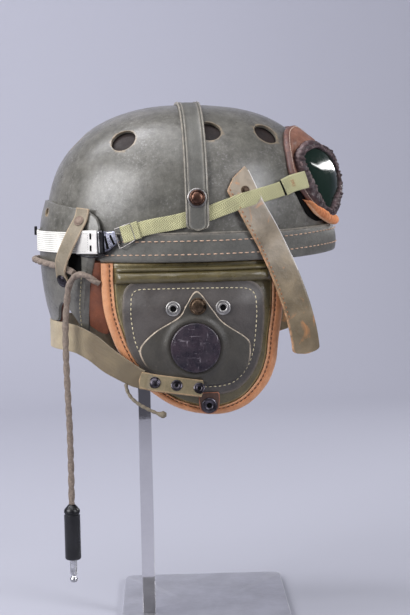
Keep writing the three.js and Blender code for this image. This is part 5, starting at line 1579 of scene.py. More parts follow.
def add_ear_flap(word, side):
    place = flap_place(side)
    shift = Vector((side * 31.7, 5.3, 2.2))

    def cushion(x, y):
        spot = Vector((x, y, 0)) + shift
        return flap_front(x, y) + 0.7 * noise(spot * 0.045) + 0.35 * noise(spot * 0.12)

    body = pad(f"flap_{word}", flap_body, flap_middle, 34, cushion, lambda x, y: 0.2, place, OLIVE_LEATHER,
               replaces=[f"ear_flap_{word}"], curl=2.0)
    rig.padded(body, 0.6)
    add_binding(word, side)

    ends = FLAP_WIDTH / 2 - BINDING_WIDTH * BINDING_SIDES - 1.2
    rings = []
    for x in span(-ends, ends, 120):
        tuck = min(1, (1 - abs(x / ends)) * 16) ** 0.5
        ring = []
        for y in span(ROLL_TOP, ROLL_FOOT, 28):
            swell = 0.5
            for middle, half, depth in ROLL_LOBES:
                swell = max(swell, depth * math.sqrt(max(0, 1 - ((y - middle) / half) ** 2)))
            crease = 0.45 * noise(Vector((x * 0.05, y * 0.3, side)))
            crease += 0.2 * noise(Vector((x * 0.3, y * 0.5, 3)))
            ring.append(place(x, y, FLAP_EDGE + 0.7 + (swell + crease) * tuck))
        ring += [place(x, y, FLAP_EDGE + 0.5) for y in (ROLL_FOOT, (ROLL_TOP + ROLL_FOOT) / 2, ROLL_TOP)]
        rings.append(ring)
    skin(f"roll_{word}", rings, OLIVE_LEATHER, replaces=[f"ear_roll_{word}"])
    add_receiver(word, side)


# The binding's section: in from the edge, share of its depth, and wear
BINDING_SECTION = (
    (1, 0.15, 0), (0.8, 0.03, 0), (0.5, 0, 0), (0.25, 0.05, 0), (0.08, 0.2, 0.2), (0.0, 0.5, 0.6),
    (0.08, 0.8, 0.6), (0.25, 0.95, 0.3), (0.5, 1.0, 0), (0.62, 0.97, 0), (0.7, 0.86, 0), (0.76, 0.86, 0),
    (0.82, 0.95, 0.2), (0.9, 0.98, 0.5), (1, 0.9, 0.9),
)
BINDING_SEAM = 0.73


def add_binding(word, side):
    """Tan leather folded over the flap's edge, with an inner piping and a row of dark stitches."""
    place = flap_place(side)
    inner = drawn_in(flap_run, BINDING_WIDTH)
    lift = (BINDING_DEPTH - FLAP_EDGE) / 2
    rings, wear = [], []
    for p, q in zip(flap_run, inner):
        ring = []
        for into, deep, worn in BINDING_SECTION:
            x, y = mix(p.x, q.x, into), mix(p.y, q.y, into)
            swell = 0.35 * noise(Vector((x * 0.12, y * 0.12, side * 4.1))) if deep > 0.1 else 0
            ring.append(place(x, y, deep * BINDING_DEPTH - lift + swell))
            wear.append(worn)
        rings.append(ring)
    skin(f"binding_{word}", rings, TAN_LEATHER, wear + [0.5, 0.5], replaces=[f"ear_binding_{word}"])
    out = Vector((0, side, 0))
    path = [place(mix(p.x, q.x, BINDING_SEAM), mix(p.y, q.y, BINDING_SEAM), BINDING_DEPTH * 0.88 - lift + 0.2)
            for p, q in zip(flap_run, inner)]
    stitches(f"binding_stitches_{word}", places_on(path, lambda p: out, 4.6), DARK_THREAD, length=3.0,
             width=0.8)


# Places on the flap, as shares of its width and drop
EYELETS = (("rear", -0.12, 0.705), ("front", 0.15, 0.705))
COVER_SNAP = (0.012, 0.72)
TAB_SOCKET = (0.065, 0.072)
# Radius and height round an eyelet's flange, ring and hole
EYELET_FLANGE = ((3.6, 0), (7.2, 0), (7.2, 0.3), (6.7, 0.75), (5.6, 0.95), (4.4, 0.9), (3.6, 0.6))
EYELET_RING = ((2.7, 0.1), (4.5, 0.7), (4.7, 1.3), (4.2, 1.75), (3.5, 1.7), (2.9, 1.2))
EYELET_HOLE = ((0, 0.1), (3.2, 0.1), (3.2, 0.3), (0, 0.3))
COVER_TOP = POCKET_WALL + COVER_WALL + LAYER_GAP * 2.2
POCKET_MARGIN = 8


def add_receiver(word, side):
    place = flap_place(side)
    out = Vector((0, side, 0))
    shift = Vector((side * 11.3, 1.7, 8.8))

    def rough(x, y, size):
        return size * noise((Vector((x, y, 0)) + shift) * 0.07)

    def pocket_back(x, y):
        return flap_front(x, y) + LAYER_GAP

    def pocket_front(x, y):
        return pocket_back(x, y) + POCKET_WALL + rough(x, y, 0.5)

    def cover_back(x, y):
        return flap_front(x, y) + POCKET_WALL + LAYER_GAP * 1.8

    def cover_front(x, y):
        away = math.hypot(x - DISC_X, y - DISC_Y)
        moulded = 2.0 * math.exp(-((away - RECEIVER_RADIUS - 2.6) / 3.4) ** 2)
        return cover_back(x, y) + COVER_WALL + moulded + rough(x, y, 0.4)

    pocket = outline(POCKET_OUTLINE, FLAP_WIDTH, FLAP_DROP, 140)
    pad(f"pocket_{word}", pocket, centre(pocket), 26, pocket_front, pocket_back, place, POCKET_LEATHER,
        replaces=[f"receiver_pocket_{word}"])
    path = [place(p.x, p.y, pocket_front(p.x, p.y) + 0.05) for p in inset(pocket, POCKET_MARGIN)]
    stitches(f"pocket_stitches_{word}", places_on(path + path[:1], lambda p: out, 4.6), CREAM_THREAD,
             length=3.1, width=1.0)
    cover = outline(COVER_OUTLINE, FLAP_WIDTH, FLAP_DROP, 160)
    # The cover's curled edge takes its pale third colour along its upper part only: painted highlight
    pad(f"cover_{word}", cover, Vector((0, FLAP_DROP * 0.43, 0)), 30, cover_front, cover_back, place,
        COVER_LEATHER, replaces=[f"receiver_cover_{word}"], curl=0.9,
        worn=lambda y: smoothstep(y / FLAP_DROP, 0.3, 0.42))

    foot = place(DISC_X, DISC_Y, flap_front(DISC_X, DISC_Y) + COVER_TOP)
    r = RECEIVER_RADIUS
    profile = [(0, 0), (r * 0.98, 0), (r, 0.8), (r, 2.4), (r - 0.25, 3.2), (r - 0.9, 3.7), (r - 1.6, 3.9),
               (r - 2.3, 3.75), (r - 3, 3.7), (r * 0.5, 4.0), (r * 0.02, 4.1)]
    lathe(f"receiver_disc_{word}", profile, foot, out, DISC_PLASTIC, sides=96,
          replaces=[f"receiver_{word}"])
    add_flap_snaps(word, place, out)
    add_flap_tab(word, place, out)


def add_flap_snaps(word, place, out):
    x, y = COVER_SNAP[0] * FLAP_WIDTH, COVER_SNAP[1] * FLAP_DROP
    snap(f"cover_snap_cap_{word}", place(x, y, flap_front(x, y) + COVER_TOP + GAP), out, 8.2, COVER_BRASS,
         replaces=[f"cover_snap_{word}"])
    for end, across, up in EYELETS:
        x, y = across * FLAP_WIDTH, up * FLAP_DROP
        foot = place(x, y, flap_front(x, y) + POCKET_WALL + LAYER_GAP + GAP)
        lathe(f"eyelet_{end}_{word}", EYELET_FLANGE, foot, out, EYELET_STEEL, hollow=True,
              replaces=[f"pocket_eyelet_{end}_{word}"])
        lathe(f"eyelet_ring_{end}_{word}", EYELET_RING, foot, out, EYELET_STEEL, hollow=True)
        # A black disc in the eyelet's hole: painted shade
        lathe(f"eyelet_hole_shade_{end}_{word}", EYELET_HOLE, foot, out, SHADE_BLACK)


def add_flap_tab(word, place, out):
    tab = outline(TAB_OUTLINE, FLAP_WIDTH, FLAP_DROP, 60)
    below = max(max(flap_front(p.x, p.y) for p in tab), (BINDING_DEPTH + FLAP_EDGE) / 2)
    back = below + POCKET_WALL + LAYER_GAP + GAP
    front = back + POCKET_WALL
    pad(f"tab_{word}", tab, centre(tab), 10, lambda x, y: front, lambda x, y: back, place, RED_LEATHER,
        replaces=[f"flap_tab_{word}"])
    foot = place(TAB_SOCKET[0] * FLAP_WIDTH, TAB_SOCKET[1] * FLAP_DROP, front)
    socket(f"tab_socket_{word}", foot, out, 7.4, DARK_STEEL)


# Nape strap and its tabs

# Bearing, reach, drop and height of the nape strap
NAPE = ((116.5, 1.084, 1.345, 0.72), (120, 1.085, 1.32, 0.8), (126, 1.08, 1.25, 0.88),
        (133, 1.06, 1.17, 0.96), (141, 1.03, 1.07, 1), (150, 1.01, 1.0, 1), (158, 1.0, 0.98, 1),
        (166, 0.99, 0.98, 1), (180, 0.985, 0.98, 1))


def add_nape_strap():
    middles, outs, talls = [], [], []
    for (bearing, out, drop, tall), side in round_the_back(smooth_rows(NAPE, 40)):
        angle = math.radians(bearing)
        reach = 1 / math.hypot(math.cos(angle) / (HALF_LENGTH * out), math.sin(angle) / (HALF_WIDTH * out))
        level = Vector((math.cos(angle), side * math.sin(angle), 0))
        lean = (1 - tall) * 1.2
        middles.append(level * reach + Vector((0, 0, BROW - drop * NAPE_DROP)))
        outs.append((level - Vector((0, 0, lean))).normalized())
        talls.append(tall)
    ribbon = Ribbon(middles, outs)
    ribbon.strap("nape_webbing", slab(NAPE_HEIGHT, NAPE_WALL, across=8), NAPE_WEB, steps=150,
                 broad=lambda at: ribbon.blend(talls, at), replaces=["nape_strap"])


# The leather tab at each end of the nape strap: where it starts behind the flap's middle, its middle's height
# there and how far that falls, all as shares of the flap's width and drop
NAPE_TAB_BACK = -0.272
NAPE_TAB_UP = 0.245
NAPE_TAB_FALL = 0.06
NAPE_TAB_LAP = 7
# Its snap and two sockets, as shares of its length
NAPE_SNAP = 0.24
NAPE_SOCKETS = (("middle", 0.58), ("end", 0.93))


def add_nape_tab(word, side):
    place = flap_place(side)
    wall = POCKET_WALL * 1.3
    height = NAPE_HEIGHT * 0.66
    back = FLAP_WIDTH * NAPE_TAB_BACK - NAPE_TAB_LAP
    base = FLAP_EDGE + FLAP_BELLY + GAP
    middles, outs = [], []
    for share in span(0, 1, 24):
        x = back + share * NAPE_TAB_LENGTH
        middle = FLAP_DROP * (NAPE_TAB_UP - NAPE_TAB_FALL * share)
        top = place(x, middle + height * 0.42, base - wall)
        low = place(x, middle - height * 0.42, base + height * 0.35 - wall)
        up = (top - low).normalized()
        middles.append((top + low) / 2)
        outs.append(up.cross(Vector((1, 0, 0))) * -side)
    outs = [o if o.y * side > 0 else -o for o in outs]
    ribbon = Ribbon(middles, outs)
    ribbon.strap(f"nape_tab_leather_{word}", slab(height * 0.92, wall, across=6), TAB_LEATHER, steps=40,
                 lift=lambda at: (NAPE_WALL + GAP) * (1 - smoothstep(at, 6, 14)),
                 broad=lambda at: ends_rounded(at, ribbon.length, 1.5), replaces=[f"nape_tab_{word}"])
    at = NAPE_SNAP * ribbon.length
    snap(f"nape_snap_{word}", ribbon.at(at, 0, wall), ribbon.out_at(at), 5.6, DARK_STEEL, height=2.0)
    for name, share in NAPE_SOCKETS:
        at = share * ribbon.length
        socket(f"nape_socket_{name}_{word}", ribbon.at(at, 0, wall), ribbon.out_at(at), 5.4, DARK_STEEL,
               height=1.0)


# Straps over the guard, the goggles' webbing, elastic and buckles

# Bearing, share of the way down, and stand of a guard strap
GUARD_STRAP = ((144.3, 0.05, 0), (144.5, 0.12, 0), (145.2, 0.21, 0.6), (147.2, 0.32, 1.05),
               (150.2, 0.43, 1.12), (153.0, 0.51, 0.5), (154.0, 0.6, 0))


# Its snaps: share of its length, paint and radius
GUARD_SNAPS = (("top", 0.16, MATTE_BROWN, 5), ("bottom", 0.93, DARK_STEEL, 6.5))


def add_guard_strap(word, side):
    clear = LEAD_DIAMETER + GAP * 4
    rows = smooth_rows(GUARD_STRAP, 30)
    middles = [on_guard(b, d, GAP + s * clear, side) for b, d, s in rows]
    ribbon = Ribbon(middles, [crown_normal(p) for p in middles])
    lift = GUARD_STRAP_WIDTH * 0.04
    ribbon.strap(f"guard_strap_leather_{word}", slab(GUARD_STRAP_WIDTH, GUARD_STRAP_WALL), KHAKI_LEATHER,
                 steps=60, lift=lift, broad=lambda at: ends_rounded(at, ribbon.length, 5, start=False),
                 replaces=[f"guard_strap_{word}"])
    for end, share, paint, radius in GUARD_SNAPS:
        at = share * ribbon.length
        snap(f"guard_snap_{end}_{word}", ribbon.at(at, 0, lift + GUARD_STRAP_WALL), ribbon.out_at(at),
             radius, paint, height=2.2, replaces=[f"guard_strap_snap_{end}_{word}"])


# Bearing, rise and stand of the goggles' webbing, which lies over the cup's edge at its front end
WEBBING_ROUTE = ((36.5, 0.394, 2.9), (40, 0.383, 2.7), (43.5, 0.367, 2.1), (47.5, 0.334, 1.2), (52, 0.314, 1),
                 (60, 0.284, 1), (68, 0.253, 1), (74, 0.222, 0.95), (79, 0.195, 0.3), (84, 0.168, 0),
                 (95, 0.128, 0), (103, 0.102, 0.4), (110, 0.085, 1.05), (117, 0.06, 1.1), (125, 0.02, 1.2))


# Where the webbing's two folded ends stop: bearing and rise
KEEPER_PLACE = (46.6, 0.34)
TURNED_PLACE = (117.8, 0.056)
# The stitches ahead of the keeper: across the webbing, and slant
KEEPER_SEAM = 9
KEEPER_STITCHES = ((0, 0.8), (0, -0.8), (2.6, 0), (-2.6, 0))


def add_webbing(word, side):
    over = BAND_WALL + GAP
    ribbon = crown_ribbon([(b, r, GAP + s * over) for b, r, s in WEBBING_ROUTE], side, 120)
    section = slab(WEBBING_WIDTH, WEBBING_WALL, bevel=0.4)
    ribbon.strap(f"webbing_{word}", section, WEBBING, steps=150, replaces=[f"goggle_webbing_{word}"])
    doubled = slab(WEBBING_WIDTH * 1.16, WEBBING_WALL, bevel=0.7)
    keeper = ribbon.near(on_crown(*KEEPER_PLACE, over, side))
    ribbon.strap(f"webbing_fold_{word}", doubled, WEBBING, start=-0.4, end=keeper, steps=30,
                 lift=WEBBING_WALL)
    # A black band across the webbing where its fold ends at the keeper: painted shade
    ribbon.strap(f"webbing_keeper_shade_{word}", slab(WEBBING_WIDTH * 1.04, 0.5, bevel=0.2), SHADE_BLACK,
                 start=keeper, end=keeper + 1.5, steps=4, lift=WEBBING_WALL)
    places = []
    at = keeper - KEEPER_SEAM
    for across, slant in KEEPER_STITCHES:
        along = ribbon.blend(ribbon.alongs, at) + ribbon.blend(ribbon.acrosses, at) * slant
        places.append((ribbon.at(at, across, 2 * WEBBING_WALL), along.normalized(), ribbon.out_at(at)))
    stitches(f"webbing_stitches_{word}", places, RUST_THREAD, length=5, width=0.7, height=0.5)
    turned = ribbon.near(on_crown(*TURNED_PLACE, over, side))
    ribbon.strap(f"webbing_end_{word}", doubled, WEBBING, start=turned, end=ribbon.length + 0.4, steps=30,
                 lift=WEBBING_WALL)


ELASTIC_END_BEARING = 142
ELASTIC_DOWN = (GUARD_TOP + 5) / GUARD_DEPTH


def add_elastic():
    middles, outs = [], []
    for bearing in span(ELASTIC_END_BEARING, 360 - ELASTIC_END_BEARING, 120):
        side = RIGHT if bearing <= 180 else LEFT
        away = min(bearing, 360 - bearing)
        middles.append(on_guard(away, ELASTIC_DOWN, GAP + 0.4, side))
        out = on_guard(away, ELASTIC_DOWN, 5, side) - on_guard(away, ELASTIC_DOWN, 0, side)
        outs.append(out.normalized())
    ribbon = Ribbon(middles, outs)
    ribbon.strap("elastic", slab(ELASTIC_WIDTH, ELASTIC_WALL, across=8), ELASTIC, steps=150,
                 replaces=["goggle_elastic"])


# Bearing, rise, height and stand of the buckle's hook, from the elastic's box to the webbing
HOOK = ((136, -0.03, 1, 1), (133.5, -0.028, 1, 0.9), (131, -0.018, 0.82, 0.8), (127.6, 0.012, 0.5, 0.66))
# The wire round the webbing's end, and the dark wire under the box: bearing and rise
WIRE_LOOP = ((128.3, 0.056), (126.8, -0.058), (125.6, -0.078), (119.8, -0.024), (119.4, 0.0), (121.4, 0.1),
             (122.3, 0.102), (127.6, 0.068))
WIRE_UNDER = ((145.3, -0.128), (142, -0.142), (138.4, -0.146), (134, -0.13), (130.6, -0.09), (128.6, -0.03))
# The elastic's sewn box and the slide ahead of it: bearing and rise
BOX_ROUTE = ((145.2, -0.036), (140, -0.034), (135.3, -0.034))
SLIDE_ROUTE = ((135.2, -0.034), (134, -0.033), (132.8, -0.032))
BOX_HEIGHT = 22
BOX_WALL = 3.4
SLIDE_WALL = 2.6
HOOK_WALL = 1.4
# The box's seams: across it, and shares of its length
BOX_SEAM = 8.2
BOX_SEAM_START = 1.6
BOX_SEAM_END = 0.6
BOX_SLOTS = (("top", 5.6), ("foot", -5.6))
HOOK_GAPS = (0.46, 0.74)


def shifted(section, across):
    return [(a + across, o, 0) for a, o, _ in section]


def add_elastic_box(word, side, stand):
    box = crown_ribbon([(b, r, stand) for b, r in BOX_ROUTE], side, 20)
    box.strap(f"elastic_box_{word}", slab(BOX_HEIGHT, BOX_WALL, bevel=0.9), ELASTIC_END, steps=20)
    places = []
    for across in (-BOX_SEAM, BOX_SEAM):
        places += box.walk(across, BOX_WALL, BOX_SEAM_START, box.length * 0.62, 1.9)
    for at in (BOX_SEAM_START, box.length * BOX_SEAM_END):
        for across in span(-6.5, 6.5, 6):
            places.append((box.at(at, across, BOX_WALL), box.blend(box.acrosses, at), box.out_at(at)))
    stitches(f"box_stitches_{word}", places, GREY_THREAD, length=1.0, width=0.55, height=0.3)
    # Black strips over the box's two slots: painted shade in them
    slot_at = box.length * 0.7
    for name, across in BOX_SLOTS:
        box.strap(f"box_slot_shade_{name}_{word}", shifted(slab(5.6, 0.3, 4, 0.1), across), SHADE_BLACK,
                  start=slot_at, end=slot_at + 1.8, steps=3, lift=BOX_WALL)
    slide = crown_ribbon([(b, r, stand) for b, r in SLIDE_ROUTE], side, 8)
    slide.strap(f"slide_{word}", slab(BOX_HEIGHT, SLIDE_WALL, bevel=0.7), BLACK_STEEL, steps=8)
    slide.strap(f"slide_glint_{word}", slab(BOX_HEIGHT * 0.9, 0.5, bevel=0.15), SILVER, start=1.6, end=2.3,
                steps=3, lift=SLIDE_WALL - 0.1)


def add_buckle(word, side):
    add_elastic_box(word, side, GUARD_STAND + GAP + 0.6)
    middles, stands, talls = [], [], []
    for bearing, rise, tall, share in smooth_rows(HOOK, 24):
        stands.append(GUARD_STAND * share + GAP * 2)
        middles.append(on_crown(bearing, rise, stands[-1], side))
        talls.append(tall)
    hook = Ribbon(middles, [crown_normal(p) for p in middles], stands)
    hook.strap(f"hook_{word}", slab(ELASTIC_WIDTH, HOOK_WALL, bevel=0.4), BLUE_STEEL, steps=24,
               broad=lambda at: hook.blend(talls, at), replaces=[f"strap_buckle_{word}"])
    # Black bars across the hook's two gaps: painted shade in them
    for k, share in enumerate(HOOK_GAPS):
        at = share * hook.length
        reach = hook.blend(talls, at) * ELASTIC_WIDTH
        bar = shifted(slab(reach * 0.7, 0.4, 4, 0.1), -reach * 0.08)
        hook.strap(f"hook_gap_shade_{k}_{word}", bar, SHADE_BLACK, start=at - 1.0, end=at + 1.0, steps=4,
                   lift=HOOK_WALL - 0.1)
    loop = closed_curve([on_crown(b, r, BAND_WALL + 4.2, side) for b, r in WIRE_LOOP], 90)
    tube(f"wire_loop_{word}", loop + loop[:1], 0.65, DULL_STEEL, sides=10)
    under = smooth_path([on_crown(b, r, GUARD_STAND + 1.2 - 0.6 * k, side)
                         for k, (b, r) in enumerate(WIRE_UNDER)], 50)
    tube(f"wire_under_{word}", under, 0.9, BLACK_STEEL, sides=10)


CLIP_HALF = 4
CLIP_FOOT = 391
CLIP_TOP = 399.5


def add_rear_clip():
    """The small dark hook that holds the elastic at the back of the guard."""
    back = on_guard(180, ELASTIC_DOWN, ELASTIC_WALL + 0.8, RIGHT).x
    bevelled_box("rear_clip", (back - 2.2, -CLIP_HALF, CLIP_FOOT), (back + 0.6, CLIP_HALF, CLIP_TOP), 0.6,
                 BLACK_STEEL)


# Goggles

# The lens and the rim's outer edge, in the same order from the rear corner over the top: across towards
# the ear and up, in millimetres
LENS_OUTLINE = (
    (36, 21), (28.5, 26.9), (16, 29.4), (4, 26), (-9, 20.5), (-20, 13), (-27.5, 4), (-24, -5), (-13, -13),
    (-2.6, -18), (8, -26), (14.5, -30.8), (20.9, -26), (25.4, -16), (29.5, -3), (33.4, 10),
)
RIM_OUTLINE = (
    (42, 22.5), (36, 31.5), (23, 38), (9, 34), (-7, 30), (-21, 23), (-32, 12), (-33.5, -3), (-26, -15),
    (-14, -25), (-1, -34), (10, -38.5), (22, -35), (32.5, -25), (38, -10), (41.5, 6),
)
# The cup's foot on the crown and the height of its edge, in the same order: bearing, rise and height
CUP_FOOT = (
    (36.5, 0.57, 6), (32, 0.68, 6), (22, 0.765, 5), (10, 0.775, 8), (3.2, 0.68, 8), (3, 0.57, 7),
    (3, 0.46, 6), (3.2, 0.37, 5), (4.5, 0.28, 4), (8, 0.21, 4), (13, 0.165, 4), (19.5, 0.15, 4),
    (26, 0.175, 4), (31, 0.24, 4.5), (35, 0.33, 5), (38.5, 0.44, 6),
)


def lens_frame(side):
    facing = crown_normal(on_crown(LENS_FACING, 0))
    turn = math.atan2(facing.y, facing.x)
    lean = math.radians(LENS_LEAN)
    out = Vector((math.cos(turn) * math.cos(lean), side * math.sin(turn) * math.cos(lean), math.sin(lean)))
    across = Vector((-math.sin(turn), side * math.cos(turn), 0))
    up = Vector((-math.cos(turn) * math.sin(lean), -side * math.sin(turn) * math.sin(lean), math.cos(lean)))
    origin = on_crown(LENS_BEARING, LENS_RISE / CROWN_HEIGHT, LENS_STAND, side)

    def place(x, y, depth):
        bulge = -LENS_BULGE * (2 * x / LENS_WIDTH) ** 2
        return origin + across * x + up * y + out * (depth + bulge)
    return place


# Places after each point of the rims' outlines and of the cup's foot
LOOP_STEPS = 16
# The rim's section: share of the way out from the lens, depth, and wear
RIM_SECTION = (
    (0, -0.35, 0), (0, 0.3, 0), (0.05, 0.6, 0.3), (0.16, 0.78, 0.8), (0.3, 0.86, 0.3), (0.45, 0.9, 0),
    (0.6, 0.86, 0), (0.74, 0.76, 0), (0.86, 0.6, 0.3), (0.95, 0.4, 0.6), (1, 0.15, 0.3), (1, -0.2, 0),
    (0.9, -0.42, 0), (0.5, -0.5, 0), (0.1, -0.45, 0),
)


def add_eyepiece(word, side):
    place = lens_frame(side)
    shape = smooth_loop([Vector((x, y, 0)) for x, y in LENS_OUTLINE], LOOP_STEPS)
    rim_outer = smooth_loop([Vector((x, y, 0)) for x, y in RIM_OUTLINE], LOOP_STEPS)
    lens_edge = shrunk(shape, GAP)
    middle = centre(lens_edge)
    reach = Round(lens_edge, middle)

    def crest(x, y):
        return 2.2 + LENS_BULGE * 0.3 * (1 - min(1, reach.share(x, y)) ** 2)

    pad(f"lens_{word}", lens_edge, middle, 16, crest, lambda x, y: crest(x, y) - 2.5, place, GLASS,
        replaces=[f"goggle_lens_{word}"], curl=0.3)

    rings, wear = [], []
    for p, q in zip(shape, rim_outer):
        ring = []
        for across, deep, worn in RIM_SECTION:
            x, y = mix(p.x, q.x, across), mix(p.y, q.y, across)
            spot = Vector((x, y, side * 20))
            crease = 2.2 * noise(spot * 0.36) + 1.4 * noise(spot * 0.95) if deep > 0.1 else 0
            sway = 0.5 * noise(spot * 0.5 + Vector((5, 5, 5))) * clamp(across * 2 - 0.8)
            ring.append(place(x * (1 + sway / 40), y * (1 + sway / 40), deep * RIM_DEPTH + crease))
            wear.append(worn)
        rings.append(ring)
    skin(f"rim_{word}", rings, RIM_LEATHER, wear, loop=True, replaces=[f"goggle_rim_{word}"])
    add_cup(word, side, place, shape, rim_outer)


# Rings over the cup's face, and down its edge to the crown
CUP_FACE_RINGS = 12
CUP_EDGE_RINGS = 6


def add_cup(word, side, place, shape, rim_outer):
    """The leather cup: a creased face that spreads from the rim, and an edge that stands on the crown."""
    count = len(shape)
    feet = smooth_loop([on_crown(b, r, 0, side) for b, r, _ in CUP_FOOT], LOOP_STEPS)
    heights = smooth_loop([h for _, _, h in CUP_FOOT], LOOP_STEPS)
    depth = -RIM_DEPTH * 0.5 - GAP
    top_out = [place(p.x, p.y, depth) for p in shrunk(rim_outer, 0.6)]
    top_in = [place(p.x, p.y, depth) for p in shrunk(shape, -RIM_WIDTH * 0.1)]
    heart = centre(feet)
    shoulders = []
    for foot, height in zip([settle(p, GAP) for p in feet], heights):
        out = crown_normal(foot)
        shoulders.append(foot.lerp(heart + out * out.dot(foot - heart), 0.04) + out * height)
    layers = [top_in]
    for share in span(0, 1, CUP_FACE_RINGS):
        ring = []
        for i in range(count):
            spot = Vector((math.cos(i / count * math.tau) * 3, math.sin(i / count * math.tau) * 3, share))
            folds = noise(spot * 2.6 + Vector((0, 0, side * 9))) * 1.5 + noise(spot * 7) * 0.9
            swell = 1.2 + folds * (1 - 0.4 * share)
            p = top_out[i].lerp(shoulders[i], share)
            ring.append(p + crown_normal(feet[i]) * (swell * math.sin(math.pi * clamp(share, 0.02, 0.98))))
        layers.append(ring)
    for share in span(0, 1, CUP_EDGE_RINGS)[1:]:
        ring = []
        for i in range(count):
            foot = settle(feet[i], GAP)
            out = crown_normal(foot)
            away = (foot - heart - out * out.dot(foot - heart)).normalized()
            ring.append(shoulders[i].lerp(foot, share) + away * (1.6 * math.sin(math.pi * share)))
        layers.append(ring)
    lip = [settle(p.lerp(heart, 0.12), GAP) for p in feet]
    layers.append(lip)
    layers.append([a.lerp(b, 0.5) for a, b in zip(top_in, lip)])
    rings = [[layer[i] for layer in layers] for i in range(count)]
    # The cup's edge rings are marked in full so that they take the goggle leather's dark third colour: painted shade
    # where the cup stands on the crown
    wear = ([0.0] * (CUP_FACE_RINGS + 1) + [0.9] + [1.0] * CUP_EDGE_RINGS + [0.0, 0.0]) * count
    skin(f"cup_{word}", rings, GOGGLE_LEATHER, wear, loop=True, replaces=[f"goggle_cup_{word}"])
    seam = [shoulders[i].lerp(top_out[i], 0.09) + crown_normal(feet[i]) * 0.55 for i in range(count)]
    seam = seam[count * 3 // 4:] + seam[:count // 4]
    stitches(f"cup_stitches_{word}", places_on(seam, crown_normal, 2.6), PALE_THREAD, length=2.2, width=0.6,
             height=0.4)


# The painted shadow under the cup, a black sheet laid on the crown behind it where the cup's underside lies in shade:
# rise, and its rear and front bearings
CUP_PAINTED_SHADOW = ((0.345, 39.2, 33), (0.3, 37.6, 31.5), (0.235, 35.9, 29), (0.18, 34.2, 26), (0.135, 32.6, 22),
             (0.1, 29.5, 18), (0.075, 25.5, 15))


def add_cup_painted_shadow(word, side):
    rows = [[on_crown(bearing, rise, 0.9, side) for bearing in span(rear, front, 8)]
            for rise, rear, front in smooth_rows(CUP_PAINTED_SHADOW, 20)]
    shade_sheet(f"cup_painted_shadow_{word}", rows, lambda p: settle(p, 0.25))


# Puckered roll of the lining below each eye: bearing, rise and plumpness
LINING_ROLL = ((4, 0.085, 0.6), (11.6, 0.078, 0.95), (18.7, 0.092, 1.05), (24.1, 0.124, 1.1),
               (28.5, 0.158, 1), (31.5, 0.205, 0.8), (33.4, 0.245, 0.35))
ROLL_RINGS = 240
ROLL_RADIUS = 4.9


def add_lining_roll(word, side):
    rings, wear = [], []
    for i, (bearing, rise, plump) in enumerate(smooth_rows(LINING_ROLL, ROLL_RINGS)):
        phase = i * 0.2 + 1.2 * noise(Vector((i * 0.05, side, 0)))
        pleat = 0.7 + 0.36 * abs(math.sin(phase)) ** 0.5
        closing = min(1, 0.3 + 4 * min(i, ROLL_RINGS - i) / ROLL_RINGS)
        radius = ROLL_RADIUS * plump * pleat * closing
        ring = []
        for k in range(20):
            angle = k / 20 * math.tau
            height = rise + math.sin(angle) * radius * 1.08 / CROWN_HEIGHT
            lean = 1.2 * math.sin(angle)
            ring.append(on_crown(bearing + lean, height, 1.2 + radius * (1 + math.cos(angle)), side))
            # A band along the roll's underside is marked so that it takes the chamois' pale third colour: painted
            # highlight
            wear.append(1.0 if -2.2 < math.remainder(angle, math.tau) < -1.3 else 0.0)
        rings.append(ring)
    skin(f"chamois_roll_{word}", rings, CHAMOIS, wear + [0.0, 0.0], replaces=[f"goggle_lining_{word}"])


# The bridge's section: height, as a share of its half height, and depth
BRIDGE_SECTION = ((0.4, 1), (0.2, 1.06), (-0.1, 1.08), (-0.4, 1.06), (-0.6, 1), (-0.6, 0.0), (-0.1, 0.0),
                  (0.4, 0.0))
BRIDGE_HALF = 16
BRIDGE_WALL = 1.8


def add_bridge():
    x = -(LENS_WIDTH / 2 + RIM_WIDTH * 0.5)
    ends = [
        [place(x, up * BRIDGE_HALF, RIM_DEPTH * 0.5 + deep * BRIDGE_WALL) for up, deep in BRIDGE_SECTION]
        for place in (lens_frame(RIGHT), lens_frame(LEFT))
    ]
    rings = [[a.lerp(b, share) for a, b in zip(*ends)] for share in span(0, 1, 30)]
    skin("bridge", rings, GOGGLE_LEATHER, replaces=["goggle_bridge"])


# Cords

LEAD_ROUTE = (
    (-93, -88, 347.5), (-98, -88.8, 350.6), (-103.5, -88.4, 354.4), (-109, -86.8, 356.4),
    (-114.5, -84, 355.2), (-119, -80.5, 350.6), (-121.9, -77.6, 344), (-123.2, -76, 336),
    (-124.4, -74.8, 325), (-125.8, -74, 308), (-126.2, -74, 288), (-126, -74, 264), (-125.3, -74, 235),
    (-124.6, -74, 206), (-124.4, -74, 177), (-124.6, -74, 148), (-124.7, -74, 134),
)
BRANCH_ROUTE = (
    (-116.2, -80.1, 357.4), (-121, -74, 359.8), (-128.5, -65.5, 362.2), (-138, -52, 364.4), (-147, -35, 366),
    (-152.4, -16, 367), (-154, 0, 367), (-152.4, 16, 366.8), (-147, 35, 365.6), (-138, 52, 363.6),
    (-128.3, 66, 360.4), (-118, 77, 356.4), (-108, 85.2, 352), (-99.5, 88.6, 348.4), (-92.9, 88, 346),
)
LACE_ROUTE = (
    (-70.6, -101.5, 252.8), (-69.4, -101.7, 246), (-65, -102.2, 238.6), (-57, -102.8, 232), (-48, -103, 227),
    (-39, -103, 223), (-33, -103, 222.5),
)


def twisted_cord(name, route, diameter, paint, replaces, strands=2):
    """Strands laid round each other along a route. Gives the piece and the cord's middle line."""
    path = smooth_path([Vector(p) for p in route], 420)
    length = path_length(path)
    radius = diameter / 2

    def section(share, angle):
        turn = math.tau * share * length / CORD_TWIST
        lobe = abs(math.cos((angle - turn) * strands / 2))
        return radius * (0.66 + 0.34 * lobe ** 0.6)

    return tube(name, path, section, paint, sides=28, replaces=replaces), path


